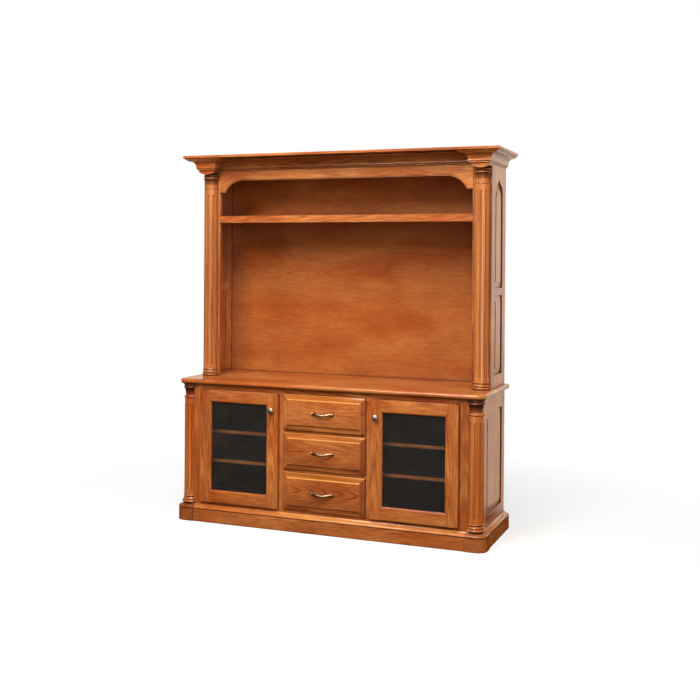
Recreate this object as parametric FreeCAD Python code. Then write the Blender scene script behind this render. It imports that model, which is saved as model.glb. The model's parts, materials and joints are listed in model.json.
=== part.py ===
import FreeCAD, Part
import math
import os

Vector = FreeCAD.Vector

# A two-piece media cabinet: a low base with two glass doors and three drawers, and a
# hutch on it with an open television bay, a shelf, fluted half columns and a breakfront crown.
# Sizes are millimetres. +X is right as seen from the front, +Z is up, the front faces -Y.
# Depths are measured forward from the plane of the back, where every carcass piece ends.

# Boards
frame_thickness = 20.0
board_thickness = 18.0
back_thickness = 6.0
panel_thickness = 15.0
panel_edge_thickness = 8.0
panel_step = 2.0
panel_bevel = 32.0

# Base carcass
base_width = 1730.0
base_depth = 530.0
base_height = 803.0
base_top_thickness = 29.0
base_top_side_overhang = 27.0
base_top_front_overhang = 30.0
base_top_corner_radius = 45.0
base_top_nose_share = 0.48
corner_clip = 63.0
base_floor_height = 125.0
base_stile_width = 62.0
base_side_top_rail = 87.0
base_side_bottom_rail = 155.0

# Plinth
plinth_height = 70.0
plinth_thickness = 30.0
plinth_block_projection = 4.0
plinth_block_radius = 50.0
plinth_block_length = 74.0
cap_height = 27.0
cap_quirk_height = 4.0
cap_quirk_depth = 4.0
cap_lip = 3.0
cap_bead_height = 8.0
cap_bead_run = 9.0
cap_bead_swell = 2.5
cap_step = 2.0
cap_cove_sag = 3.0
cap_flat = 4.0

# Face frame, doors and drawer fronts
overlay = 12.0
door_gap = 2.0
door_thickness = 20.0
door_top_reveal = 27.0
door_bottom_reveal = 17.0
door_side_margin = 113.0
door_drawer_space = 29.0
drawer_half_width = 240.0
drawer_spacing = 15.0
top_drawer_height = 195.0
middle_drawer_height = 201.0

# Glazed door frames
door_stile_width = 70.0
door_sticking = 8.0
rabbet_width = 9.0
rabbet_depth = 11.0
glass_thickness = 4.0
glass_edge_clearance = 1.0
stop_thickness = 6.0

# Shelves behind the glass
shelf_setback = 7.0
upper_shelf_top = 510.0
lower_shelf_top = 343.0
shelf_end_clearance = 1.5
shelf_back_clearance = 2.0
pin_radius = 2.5
pin_hole_depth = 9.0
pin_reach = 9.0
pin_setback = 40.0

# Drawer fronts and boxes
drawer_edge_thickness = 9.5
drawer_edge_rise = 1.5
drawer_bevel = 21.0
drawer_margin = 3.0
drawer_step = 3.0
drawer_box_length = 450.0
drawer_box_side = 12.0
drawer_box_gap_below = 10.0
drawer_box_gap_above = 22.0
drawer_bottom_thickness = 6.0
drawer_bottom_height = 10.0
runner_space = 13.0
runner_height = 36.0
runner_flange = 9.5
runner_metal = 1.5
runner_clearance = 0.5
runner_length = 446.0

# Pulls and knobs
pull_projection = 28.5
pull_bar_radius = 4.0
pull_knee = 38.0
pull_end_run = 24.0
pull_end_out = 5.0
pull_tip_radius = 4.8
pull_tip_length = 4.0
pull_post_radius = 3.6
pull_post_inset = 7.0
pull_collar_radius = 5.0
pull_collar_width = 4.0
pull_collar_place = 12.0
knob_projection = 27.0
knob_radius = 16.0
knob_stem_radius = 6.0
knob_foot_radius = 9.0
knob_foot_height = 3.0
knob_neck = 14.0
knob_rim = 5.0
knob_swell = 3.0
knob_drop = 94.0

# Door pivots and catches
pivot_side_inset = 6.0
pivot_back_inset = 13.0
pivot_pin_radius = 2.5
pivot_pin_length = 8.0
bush_radius = 4.0
bush_length = 10.0
pivot_clearance = 0.05
bracket_thickness = 2.0
bracket_tang = 16.0
bracket_clearance = 0.3
catch_width = 15.0
catch_depth = 20.0
catch_height = 45.0
catch_drop = 60.0
catch_clearance = 0.3
strike_thickness = 1.2
strike_margin = 1.5

# Hutch carcass
height = 2080.0
hutch_inset = 1.0
hutch_depth = 320.0
hutch_stile_width = 105.0
hutch_side_back_stile = 73.0
hutch_side_front_stile = 55.0
hutch_side_bottom_rail = 67.0
hutch_side_middle_rail = 40.0
lower_panel_height = 428.0
hutch_side_top_rail = 68.0
arch_rise = 66.0
arch_shoulder = 8.0
arch_swell_share = 0.12
arch_inset_share = 1.5
shelf_rail_height = 40.0
display_height = 205.0

# Valance over the opening
valance_height = 124.0
valance_foot_drop = 71.0
valance_foot_width = 34.0
valance_curve_run = 112.0
valance_bead_width = 5.0
valance_bead_rise = 2.5
valance_quirk_width = 2.0
valance_quirk_depth = 3.0

# Half columns
column_radius = 42.5
column_ring_radius = 48.5
column_groove_radius = 44.0
foot_torus_height = 13.0
foot_groove_height = 3.0
foot_band_height = 8.0
foot_band_swell = 3.5
foot_scotia_height = 9.0
foot_scotia_sag = 1.5
foot_bead_height = 8.0
foot_bead_swell = 3.0
bell_foot_radius = 39.0
bell_sag = 2.5
capital_ring_height = 11.0
capital_groove_height = 5.0
base_foot_radius = 49.0
base_bell_height = 46.0
base_neck_height = 9.0
base_neck_swell = 4.0
hutch_foot_radius = 44.0
hutch_bell_height = 50.0
hutch_neck_height = 6.0
hutch_neck_swell = 1.2
flute_count = 5
flute_pitch = 38.0
flute_radius = 5.5
flute_standoff = 1.2
flute_bottom = 66.0
flute_top = 118.0

# Breakfront crown
crown_board_thickness = 16.0
crown_board_lip = 7.0
crown_board_round = 3.0
break_projection = 65.0
break_width = 100.0
block_end_height = 12.0
block_sag = 14.0
crown_foot_out = 6.0
crown_foot_height = 7.0
crown_foot_swell = 2.5
crown_step = 2.0
crown_bead_run = 5.0
crown_bead_height = 9.0
crown_bead_swell = 2.5
crown_cove_run = 19.0
crown_cove_height = 31.0
crown_cove_sag = 6.0
crown_soffit = 13.0
crown_riser = 3.0
crown_ovolo_run = 16.0
crown_ovolo_height = 10.0
crown_ovolo_swell = 2.0

# One overrun for every cut
overrun = 5.0

# Derived heights and planes
front_depth = base_depth + door_gap + door_thickness
overall_depth = front_depth + pull_projection
back_y = overall_depth / 2
base_side_x = base_width / 2
base_inner_x = base_side_x - frame_thickness
carcass_top = base_height - base_top_thickness
frame_back_depth = base_depth - frame_thickness
clip_x = base_side_x - corner_clip
clip_depth = base_depth - corner_clip
door_top = carcass_top - door_top_reveal
cap_top = plinth_height + cap_height
door_bottom = cap_top + door_bottom_reveal
opening_top = door_top - overlay
opening_bottom = door_bottom + overlay
door_back_depth = base_depth + door_gap
door_outer_x = base_side_x - door_side_margin
door_inner_x = drawer_half_width + door_drawer_space
inner_stile_x = drawer_half_width - overlay
door_opening_x = door_inner_x + overlay
outer_stile_x = door_outer_x - overlay
partition_outer_x = inner_stile_x + board_thickness

hutch_side_x = base_side_x - hutch_inset
hutch_inner_x = hutch_side_x - frame_thickness
hutch_frame_back = hutch_depth - frame_thickness
hutch_opening_x = hutch_side_x - hutch_stile_width
crown_board_bottom = height - crown_board_thickness
crown_height = (crown_foot_height + crown_bead_height + crown_cove_height + crown_riser
                + crown_ovolo_height + crown_step + crown_step)
crown_reach = (crown_foot_out + crown_step + crown_bead_run + crown_cove_run + crown_soffit
               + crown_ovolo_run)
crown_bottom = crown_board_bottom - crown_height
crown_projection = crown_reach + crown_board_lip
break_depth = hutch_depth + break_projection
block_end_z = crown_bottom - block_end_height
capital_top = block_end_z - block_sag
break_inner_x = hutch_side_x - break_width
hutch_column_x = (break_inner_x + hutch_side_x) / 2
valance_bottom = crown_board_bottom - valance_height
hutch_shelf_top = valance_bottom - display_height

lower_panel_bottom = base_height + hutch_side_bottom_rail
lower_panel_top = lower_panel_bottom + lower_panel_height
upper_panel_bottom = lower_panel_top + hutch_side_middle_rail
upper_panel_apex = crown_bottom - hutch_side_top_rail
side_panel_front = hutch_frame_back - hutch_side_front_stile

bottom_drawer_height = (door_top - door_bottom - drawer_spacing - drawer_spacing
                        - top_drawer_height - middle_drawer_height)
top_drawer = (door_top - top_drawer_height, door_top)
middle_drawer = (top_drawer[0] - drawer_spacing - middle_drawer_height,
                 top_drawer[0] - drawer_spacing)
bottom_drawer = (door_bottom, door_bottom + bottom_drawer_height)


# Helpers: a place is given as x, depth forward of the back, and height

def at(x, depth, z):
    return Vector(x, back_y - depth, z)


def block(x, depth, z):
    # a box between the two values of each pair
    size = (x[1] - x[0], depth[1] - depth[0], z[1] - z[0])
    return Part.makeBox(size[0], size[1], size[2], at(x[0], depth[1], z[0]))


def mirrored(shape):
    return shape.mirror(Vector(0, 0, 0), Vector(1, 0, 0))


def both_sides(*shapes):
    return Part.makeCompound(list(shapes) + [mirrored(shape) for shape in shapes])


def fused(first, *others):
    return first.multiFuse(list(others)).removeSplitter()


def swell_arc(start, end, swell):
    # an arc step from start to end, bulged to the right of the way it runs
    run = (end[0] - start[0], end[1] - start[1])
    length = math.hypot(run[0], run[1])
    middle = ((start[0] + end[0]) / 2 + swell * run[1] / length,
              (start[1] + end[1]) / 2 - swell * run[0] / length)
    return middle + end


def dome_arc(radius, level, top):
    # an arc step from a rim at radius and level to a top on the axis, square to it there
    rise = top - level
    ball = (radius ** 2 + rise ** 2) / (rise * 2)
    half_turn = math.asin(radius / ball) / 2
    return (ball * math.sin(half_turn), top - ball + ball * math.cos(half_turn), 0, top)


def outline(place, start, *steps):
    # a closed wire; a step of two values is a line's end, one of four an arc's middle and end
    edges = []
    here = start
    for step in steps + (start,):
        end = step[-2:]
        if len(step) == 4:
            edges.append(Part.Arc(place(*here), place(*step[:2]), place(*end)).toShape())
        elif end != here:
            edges.append(Part.LineSegment(place(*here), place(*end)).toShape())
        here = end
    return Part.Wire(edges)


def prism(wire, direction):
    return Part.Face(wire).extrude(direction)


def plan_prism(points, z):
    wire = outline(lambda x, depth: at(x, depth, z[0]), *points)
    return prism(wire, Vector(0, 0, z[1] - z[0]))


# Raised panels, built in a plane of across and up values with a thickness

def panel_steps(across, up, rise, inset):
    # the outline of a panel moved inward by inset; a rise above zero gives it a pointed ogee top
    left = across[0] + inset
    right = across[1] - inset
    bottom = up[0] + inset
    if rise == 0:
        top = up[1] - inset
        return (left, bottom), (right, bottom), (right, top), (left, top)
    middle = (across[0] + across[1]) / 2
    spring = up[1] - rise - inset
    apex = up[1] - inset * arch_inset_share
    shoulder = (right - arch_shoulder, spring)
    turn = ((shoulder[0] + middle) / 2, (spring + apex) / 2)
    swell = arch_swell_share * math.hypot(turn[0] - middle, apex - turn[1])
    left_shoulder = (left + arch_shoulder, spring)
    left_turn = (middle + middle - turn[0], turn[1])
    top = (middle, apex)
    return ((left, bottom), (right, bottom), (right, spring), shoulder,
            swell_arc(shoulder, turn, swell), swell_arc(turn, top, -swell),
            swell_arc(top, left_turn, -swell), swell_arc(left_turn, left_shoulder, swell),
            (left, spring))


def raised_panel(place, across, up, rise, sections):
    # sections are pairs of inset and thickness, from the back face to the raised field
    wires = []
    for inset, level in sections:
        steps = panel_steps(across, up, rise, inset)
        wires.append(outline(lambda a, b, w=level: place(a, b, w), *steps))
    return Part.makeLoft(wires, True, True)


def side_panel(outer_x, depth, z, rise):
    # a panel in a side frame, its field just behind the face of the frame
    set_in = (frame_thickness - panel_thickness) / 2
    back = outer_x - set_in - panel_thickness
    sections = ((0, 0), (0, panel_edge_thickness), (panel_bevel, panel_thickness - panel_step),
                (panel_bevel, panel_thickness))
    return raised_panel(lambda a, b, w: at(back + w, a, b), depth, z, rise, sections)


# Base carcass

def base_floor():
    edge = (base_inner_x, clip_depth)
    corner = (clip_x, frame_back_depth)
    points = ((-base_inner_x, back_thickness), (base_inner_x, back_thickness), edge, corner,
              (-corner[0], corner[1]), (-edge[0], edge[1]))
    return plan_prism(points, (base_floor_height - board_thickness, base_floor_height))


def base_back():
    return block((-base_inner_x, base_inner_x), (0, back_thickness), (0, carcass_top))


def pin_centres():
    # x of the face, direction into the bay, depth and height of every right-hand shelf pin
    centres = []
    for top in (upper_shelf_top, lower_shelf_top):
        z = top - board_thickness - pin_radius
        for depth in (pin_setback, clip_depth - pin_setback):
            centres.append((base_inner_x, -1, depth, z))
            centres.append((partition_outer_x, 1, depth, z))
    return centres


def shelf_pin(face_x, into, depth, z):
    start = at(face_x - into * pin_hole_depth, depth, z)
    return Part.makeCylinder(pin_radius, pin_hole_depth + pin_reach, start, Vector(into, 0, 0))


def shelf_pins():
    return both_sides(*[shelf_pin(*centre) for centre in pin_centres()])


def pin_holed(shape):
    for centre in pin_centres():
        shape = shape.cut(shelf_pin(*centre))
    return shape


def base_side_stiles():
    x = (base_inner_x, base_side_x)
    rear = block(x, (0, base_stile_width), (0, carcass_top))
    front = block(x, (clip_depth - base_stile_width, clip_depth), (0, carcass_top))
    return both_sides(pin_holed(rear), pin_holed(front))


def base_side_rails():
    x = (base_inner_x, base_side_x)
    depth = (base_stile_width, clip_depth - base_stile_width)
    top = block(x, depth, (carcass_top - base_side_top_rail, carcass_top))
    bottom = block(x, depth, (0, base_side_bottom_rail))
    return both_sides(top, bottom)


def base_side_panels():
    depth = (base_stile_width, clip_depth - base_stile_width)
    z = (base_side_bottom_rail, carcass_top - base_side_top_rail)
    return both_sides(side_panel(base_side_x, depth, z, 0))


def base_partitions():
    x = (inner_stile_x, partition_outer_x)
    board = block(x, (back_thickness, frame_back_depth), (base_floor_height, carcass_top))
    return both_sides(pin_holed(board))


def face_frame_stiles():
    depth = (frame_back_depth, base_depth)
    outer = block((outer_stile_x, clip_x), depth, (0, carcass_top))
    for bracket in (pivot_bracket(door_top, 1), pivot_bracket(door_bottom, -1)):
        outer = outer.cut(bracket)
    inner = block((inner_stile_x, door_opening_x), depth, (opening_bottom, opening_top))
    return both_sides(outer, inner)


def face_frame_rails():
    depth = (frame_back_depth, base_depth)
    rails = [block((-outer_stile_x, outer_stile_x), depth, (opening_top, carcass_top)),
             block((-outer_stile_x, outer_stile_x), depth, (0, opening_bottom))]
    for upper, lower in ((top_drawer, middle_drawer), (middle_drawer, bottom_drawer)):
        z = (lower[1] - overlay, upper[0] + overlay)
        rails.append(block((-inner_stile_x, inner_stile_x), depth, z))
    return Part.makeCompound(rails)


def corner_posts():
    points = ((base_side_x, clip_depth), (clip_x, base_depth), (clip_x, frame_back_depth),
              (base_inner_x, clip_depth))
    return both_sides(plan_prism(points, (0, carcass_top)))


def base_top():
    x = base_side_x + base_top_side_overhang
    front = base_depth + base_top_front_overhang
    radius = base_top_corner_radius
    corner = radius * (1 - math.sqrt(1 / 2))
    points = ((-x, 0), (x, 0), (x, front - radius),
              (x - corner, front - corner, x - radius, front),
              (radius - x, front),
              (corner - x, front - corner, -x, front - radius))
    slab = plan_prism(points, (carcass_top, base_height))
    nose = [edge for edge in slab.Edges
            if edge.BoundBox.ZLength < overrun and edge.BoundBox.YMin < back_y - overrun]
    return slab.makeFillet(base_top_thickness * base_top_nose_share, nose)


# Plinth

def cap_steps(inner, reach, z):
    # the moulded top of the plinth, from its outer lower corner to its inner upper one
    outer = inner + reach
    quirk = (outer - cap_quirk_depth, z + cap_quirk_height)
    lip = (outer, quirk[1] + cap_lip)
    bead = (outer - cap_bead_run, lip[1] + cap_bead_height)
    step = (bead[0] - cap_step, bead[1])
    flat = (inner + cap_flat, z + cap_height)
    return ((quirk[0], z), quirk, (outer, quirk[1]), lip,
            swell_arc(lip, bead, cap_bead_swell), step,
            swell_arc(step, flat, -cap_cove_sag), (inner, z + cap_height))


def plinth_boards_reach():
    # half the length of the front board and the depth of the side boards
    block_outer = base_side_x + plinth_thickness + plinth_block_projection
    block_front = base_depth + plinth_thickness + plinth_block_projection
    reach = plinth_block_length + plinth_block_projection + plinth_thickness
    return block_outer - reach, block_front - reach


def plinth_front_board():
    x = plinth_boards_reach()[0]
    return block((-x, x), (base_depth, base_depth + plinth_thickness), (0, plinth_height))


def plinth_side_boards():
    depth = plinth_boards_reach()[1]
    x = (base_side_x, base_side_x + plinth_thickness)
    return both_sides(block(x, (0, depth), (0, plinth_height)))


def plinth_cap_mouldings():
    x, depth = plinth_boards_reach()
    steps = cap_steps(0, plinth_thickness, plinth_height)
    front_wire = outline(lambda out, z: at(-x, base_depth + out, z), (0, plinth_height), *steps)
    side_wire = outline(lambda out, z: at(base_side_x + out, 0, z), (0, plinth_height), *steps)
    side = prism(side_wire, Vector(0, -depth, 0))
    front = prism(front_wire, Vector(x + x, 0, 0))
    return Part.makeCompound([front, side, mirrored(side)])


def plinth_corner_block():
    reach = plinth_thickness + plinth_block_projection
    radius = plinth_block_radius
    axis_x = base_side_x + reach - radius
    axis_depth = base_depth + reach - radius
    inner_x, inner_depth = plinth_boards_reach()
    inner = radius - reach
    arm_steps = ((radius, 0), (radius, plinth_height)) + cap_steps(inner, reach, plinth_height)
    arm_wire = outline(lambda out, z: at(inner_x, axis_depth + out, z), (inner, 0), *arm_steps)
    front_arm = prism(arm_wire, Vector(axis_x - inner_x, 0, 0))
    side_wire = outline(lambda out, z: at(axis_x + out, inner_depth, z), (inner, 0), *arm_steps)
    side_arm = prism(side_wire, Vector(0, inner_depth - axis_depth, 0))
    turn_wire = outline(lambda out, z: at(axis_x, axis_depth + out, z), (0, 0), *arm_steps,
                        (0, cap_top))
    turn = Part.Face(turn_wire).revolve(at(axis_x, axis_depth, 0), Vector(0, 0, 1), 90)
    core_points = ((clip_x, base_depth), (axis_x, base_depth), (axis_x, axis_depth),
                   (base_side_x, axis_depth), (base_side_x, clip_depth))
    core = plan_prism(core_points, (0, cap_top))
    return fused(core, front_arm, side_arm, turn)


def plinth_corner_blocks():
    return both_sides(plinth_corner_block())


# Half columns, turned about their own axis and fluted, with the flat side against the frame

def column_profile(bottom, top, foot_radius, bell_height, neck_height, neck_swell):
    groove = column_groove_radius
    foot = bottom + foot_torus_height
    band = foot + foot_groove_height
    band_top = band + foot_band_height
    bead = band_top + foot_scotia_height
    shaft = bead + foot_bead_height
    upper_ring = top - capital_ring_height
    groove_low = upper_ring - capital_groove_height
    lower_ring = groove_low - capital_ring_height
    bell = lower_ring - bell_height
    neck = bell - neck_height
    ring_swell = column_ring_radius - groove
    return ((0, bottom), (foot_radius, bottom),
            swell_arc((foot_radius, bottom), (foot_radius, foot), ring_swell), (groove, band),
            swell_arc((groove, band), (groove, band_top), foot_band_swell),
            swell_arc((groove, band_top), (column_radius, bead), -foot_scotia_sag),
            swell_arc((column_radius, bead), (column_radius, shaft), foot_bead_swell),
            (column_radius, neck),
            swell_arc((column_radius, neck), (column_radius, bell), neck_swell),
            (bell_foot_radius, bell),
            swell_arc((bell_foot_radius, bell), (groove, lower_ring), -bell_sag),
            swell_arc((groove, lower_ring), (groove, groove_low), ring_swell),
            (groove, upper_ring),
            swell_arc((groove, upper_ring), (groove, top), ring_swell), (0, top))


def flute(bottom, top):
    # a groove cutter with round ends, standing a little outside the shaft
    reach = column_radius + flute_standoff
    low = bottom + flute_radius
    high = top - flute_radius
    steps = ((0, bottom), swell_arc((0, bottom), (flute_radius, low), quarter_swell(flute_radius)),
             (flute_radius, high),
             swell_arc((flute_radius, high), (0, top), quarter_swell(flute_radius)))
    wire = outline(lambda r, z: Vector(reach + r, 0, z), *steps)
    return Part.Face(wire).revolve(Vector(reach, 0, 0), Vector(0, 0, 1), 360)


def quarter_swell(radius):
    # how far a quarter circle bulges from its chord
    return radius * (1 - math.sqrt(1 / 2))


def half_column(bottom, top, *ends):
    # faces -Y, with its axis on the Z axis; the ends are foot radius, bell, neck and neck swell
    wire = outline(lambda r, z: Vector(-r, 0, z), *column_profile(bottom, top, *ends))
    turned = Part.Face(wire).revolve(Vector(0, 0, 0), Vector(0, 0, 1), 180)
    for index in range(flute_count):
        angle = (index - (flute_count - 1) / 2) * flute_pitch
        cutter = flute(bottom + flute_bottom, top - flute_top)
        cutter.rotate(Vector(0, 0, 0), Vector(0, 0, 1), angle - 90)
        turned = turned.cut(cutter)
    return turned


def right_base_column():
    column = half_column(cap_top, carcass_top, base_foot_radius, base_bell_height,
                         base_neck_height, base_neck_swell)
    column.rotate(Vector(0, 0, 0), Vector(0, 0, 1), 45)
    column.translate(at((base_side_x + clip_x) / 2, (base_depth + clip_depth) / 2, 0))
    return column


def left_base_column():
    return mirrored(right_base_column())


def right_hutch_column():
    column = half_column(base_height, capital_top, hutch_foot_radius, hutch_bell_height,
                         hutch_neck_height, hutch_neck_swell)
    column.translate(at(hutch_column_x, hutch_depth, 0))
    return column


def left_hutch_column():
    return mirrored(right_hutch_column())


# Shelves behind the glass

def cabinet_shelves():
    x = (partition_outer_x + shelf_end_clearance, base_inner_x - shelf_end_clearance)
    depth = (back_thickness + shelf_back_clearance, clip_depth - shelf_setback)
    shelves = []
    for top in (upper_shelf_top, lower_shelf_top):
        shelves.append(block(x, depth, (top - board_thickness, top)))
    return both_sides(*shelves)


# Hutch carcass

def hutch_side_stiles():
    x = (hutch_inner_x, hutch_side_x)
    z = (base_height, crown_board_bottom)
    rear = block(x, (0, hutch_side_back_stile), z)
    front = block(x, (side_panel_front, hutch_frame_back), z)
    return both_sides(rear, front)


def hutch_side_rails():
    x = (hutch_inner_x, hutch_side_x)
    depth = (hutch_side_back_stile, side_panel_front)
    bottom = block(x, depth, (base_height, lower_panel_bottom))
    middle = block(x, depth, (lower_panel_top, upper_panel_bottom))
    spring = upper_panel_apex - arch_rise
    top = block(x, depth, (spring, crown_board_bottom))
    steps = panel_steps(depth, (upper_panel_bottom, upper_panel_apex), arch_rise, 0)
    arch = prism(outline(lambda a, b: at(hutch_inner_x, a, b), *steps),
                 Vector(frame_thickness, 0, 0))
    return both_sides(bottom, middle, top.cut(arch))


def hutch_side_panels():
    depth = (hutch_side_back_stile, side_panel_front)
    lower = side_panel(hutch_side_x, depth, (lower_panel_bottom, lower_panel_top), 0)
    upper = side_panel(hutch_side_x, depth, (upper_panel_bottom, upper_panel_apex), arch_rise)
    return both_sides(lower, upper)


def hutch_front_stiles():
    x = (hutch_opening_x, hutch_side_x)
    return both_sides(block(x, (hutch_frame_back, hutch_depth), (base_height, crown_board_bottom)))


def hutch_back():
    return block((-hutch_inner_x, hutch_inner_x), (0, back_thickness),
                 (base_height, crown_board_bottom))


def hutch_top_panel():
    return block((-hutch_inner_x, hutch_inner_x), (back_thickness, hutch_frame_back),
                 (crown_board_bottom - board_thickness, crown_board_bottom))


def hutch_shelf():
    return block((-hutch_inner_x, hutch_inner_x), (back_thickness, hutch_frame_back),
                 (hutch_shelf_top - board_thickness, hutch_shelf_top))


def hutch_shelf_rail():
    return block((-hutch_opening_x, hutch_opening_x), (hutch_frame_back, hutch_depth),
                 (hutch_shelf_top - shelf_rail_height, hutch_shelf_top))


def valance_wire(inset, depth):
    # the board seen from the front, with its lower edge moved up by inset
    edge = hutch_opening_x
    run = valance_curve_run
    foot = valance_bottom - valance_foot_drop
    radius = (run ** 2 + valance_foot_drop ** 2) / (valance_foot_drop * 2)
    curve_x = edge - valance_foot_width - run
    centre_z = valance_bottom - radius
    reach = radius + inset
    turn = math.acos((foot + inset - centre_z) / reach)
    foot_x = curve_x + reach * math.sin(turn)
    middle = (curve_x + reach * math.sin(turn / 2), centre_z + reach * math.cos(turn / 2))
    return outline(lambda x, z: at(x, depth, z),
                   (-edge, foot + inset), (-foot_x, foot + inset),
                   (-middle[0], middle[1], -curve_x, valance_bottom + inset),
                   (curve_x, valance_bottom + inset),
                   (middle[0], middle[1], foot_x, foot + inset),
                   (edge, foot + inset), (edge, crown_board_bottom), (-edge, crown_board_bottom))


def valance():
    # a bead with a quirk beside it runs along the lower edge
    low = hutch_depth - valance_quirk_depth
    half = valance_bead_width / 2

    def ring(turn):
        swing = math.radians(turn)
        return valance_wire(half * (1 - math.cos(swing)), low + valance_bead_rise * math.sin(swing))

    outer = Part.makeLoft([ring(0), ring(45), ring(90)], True, True)
    inner = Part.makeLoft([ring(90), ring(135), ring(180)], True, True)
    back = prism(valance_wire(0, hutch_frame_back), Vector(0, hutch_frame_back - low, 0))
    face_wire = valance_wire(valance_bead_width + valance_quirk_width, low)
    face = prism(face_wire, Vector(0, -valance_quirk_depth, 0))
    return fused(back, outer.cut(inner), face)


# Crown

def column_cap_blocks():
    wire = outline(lambda x, z: at(x, hutch_depth, z),
                   (break_inner_x, block_end_z),
                   (hutch_column_x, capital_top, hutch_side_x, block_end_z),
                   (hutch_side_x, crown_board_bottom), (break_inner_x, crown_board_bottom))
    return both_sides(prism(wire, Vector(0, -break_projection, 0)))


def crown_steps():
    # the section of the moulding, as out from the wall and up from its lower edge
    foot = (crown_foot_out, crown_foot_height)
    bead = (foot[0] + crown_step, foot[1])
    bead_top = (bead[0] + crown_bead_run, bead[1] + crown_bead_height)
    cove = (bead_top[0], bead_top[1] + crown_step)
    cove_top = (cove[0] + crown_cove_run, cove[1] + crown_cove_height)
    riser = (cove_top[0] + crown_soffit, cove_top[1] + crown_riser)
    ovolo_top = (riser[0] + crown_ovolo_run, riser[1] + crown_ovolo_height)
    return ((0, 0), (crown_foot_out, 0), swell_arc((crown_foot_out, 0), foot, crown_foot_swell),
            bead, swell_arc(bead, bead_top, crown_bead_swell), cove,
            swell_arc(cove, cove_top, -crown_cove_sag), (riser[0], cove_top[1]), riser,
            swell_arc(riser, ovolo_top, crown_ovolo_swell), (ovolo_top[0], crown_height),
            (0, crown_height))


def crown_run(start, end, out, start_mitre, end_mitre):
    # a length of moulding along a wall from start to end; a mitre of 1 grows it outward,
    # as at an outside corner, -1 shrinks it, as at an inside corner, and 0 cuts it square
    length = math.hypot(end[0] - start[0], end[1] - start[1])
    along = ((end[0] - start[0]) / length, (end[1] - start[1]) / length)
    reach = crown_reach

    def spot(distance, outward):
        return (start[0] + along[0] * distance + out[0] * outward,
                start[1] + along[1] * distance + out[1] * outward)

    first = spot(-reach, 0)
    wire = outline(lambda o, z: at(first[0] + out[0] * o, first[1] + out[1] * o, crown_bottom + z),
                   *crown_steps())
    run = length + reach + reach
    stick = prism(wire, Vector(along[0] * run, -along[1] * run, 0))
    corners = (spot(0, 0), spot(length, 0), spot(length + reach * end_mitre, reach),
               spot(-reach * start_mitre, reach))
    return stick.common(plan_prism(corners, (crown_bottom, crown_board_bottom)))


def crown_mouldings():
    side = hutch_side_x
    right = crown_run((side, 0), (side, break_depth), (1, 0), 0, 1)
    front = crown_run((side, break_depth), (break_inner_x, break_depth), (0, 1), 1, 1)
    turn = crown_run((break_inner_x, break_depth), (break_inner_x, hutch_depth), (-1, 0), 1, -1)
    centre = crown_run((break_inner_x, hutch_depth), (-break_inner_x, hutch_depth), (0, 1), -1, -1)
    sides = [right, front, turn]
    return Part.makeCompound([centre] + sides + [mirrored(piece) for piece in sides])


def crown_top_board():
    x = hutch_side_x + crown_projection
    board = block((-x, x), (0, break_depth + crown_projection), (crown_board_bottom, height))
    rounded = [edge for edge in board.Edges
               if edge.BoundBox.ZLength < overrun and edge.BoundBox.YMin < back_y - overrun]
    return board.makeFillet(crown_board_round, rounded)


# Doors

def pivot_spot(z):
    return at(door_outer_x - pivot_side_inset, door_back_depth + pivot_back_inset, z)


def door_bores():
    # holes for the pivot bushes in the top and bottom edges of the hanging stile
    top = Part.makeCylinder(bush_radius, bush_length, pivot_spot(door_top - bush_length))
    bottom = Part.makeCylinder(bush_radius, bush_length, pivot_spot(door_bottom))
    return top, bottom


def right_door_frame():
    x = (door_inner_x, door_outer_x)
    z = (door_bottom, door_top)
    front = (front_depth - door_sticking, front_depth)
    glass_x = (x[0] + door_stile_width, x[1] - door_stile_width)
    glass_z = (z[0] + door_stile_width, z[1] - door_stile_width)
    depth = (door_back_depth, front_depth)
    board = block(x, depth, z)
    opening = block(glass_x, depth, glass_z)
    grow = door_sticking
    flare = Part.makeLoft([door_rectangle(glass_x, glass_z, 0, front[0]),
                           door_rectangle(glass_x, glass_z, grow, front[1])], True, True)
    rabbet = block((glass_x[0] - rabbet_width, glass_x[1] + rabbet_width),
                   (door_back_depth, door_back_depth + rabbet_depth),
                   (glass_z[0] - rabbet_width, glass_z[1] + rabbet_width))
    ring = board.cut(opening).cut(flare).cut(rabbet)
    for bore in door_bores():
        ring = ring.cut(bore)
    stiles = [ring.common(block((x[0], glass_x[0]), depth, z)),
              ring.common(block((glass_x[1], x[1]), depth, z))]
    rails = [ring.common(block(glass_x, depth, (glass_z[1], z[1]))),
             ring.common(block(glass_x, depth, (z[0], glass_z[0])))]
    return Part.makeCompound(stiles + rails)


def door_rectangle(x, z, grow, depth):
    return outline(lambda a, b: at(a, depth, b), (x[0] - grow, z[0] - grow),
                   (x[1] + grow, z[0] - grow), (x[1] + grow, z[1] + grow),
                   (x[0] - grow, z[1] + grow))


def glass_reach():
    # x and z of the pane, and of the rabbet that holds it
    x = (door_inner_x + door_stile_width - rabbet_width,
         door_outer_x - door_stile_width + rabbet_width)
    z = (door_bottom + door_stile_width - rabbet_width,
         door_top - door_stile_width + rabbet_width)
    return x, z


def right_door_glass():
    x, z = glass_reach()
    front = door_back_depth + rabbet_depth
    gap = glass_edge_clearance
    return block((x[0] + gap, x[1] - gap), (front - glass_thickness, front),
                 (z[0] + gap, z[1] - gap))


def right_door_glass_stops():
    # four strips in the rabbet behind the pane
    x, z = glass_reach()
    front = door_back_depth + rabbet_depth - glass_thickness
    depth = (front - stop_thickness, front)
    width = rabbet_width
    strips = [block((x[0], x[0] + width), depth, z), block((x[1] - width, x[1]), depth, z)]
    for low in (z[0], z[1] - width):
        strips.append(block((x[0] + width, x[1] - width), depth, (low, low + width)))
    return Part.makeCompound(strips)


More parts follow.
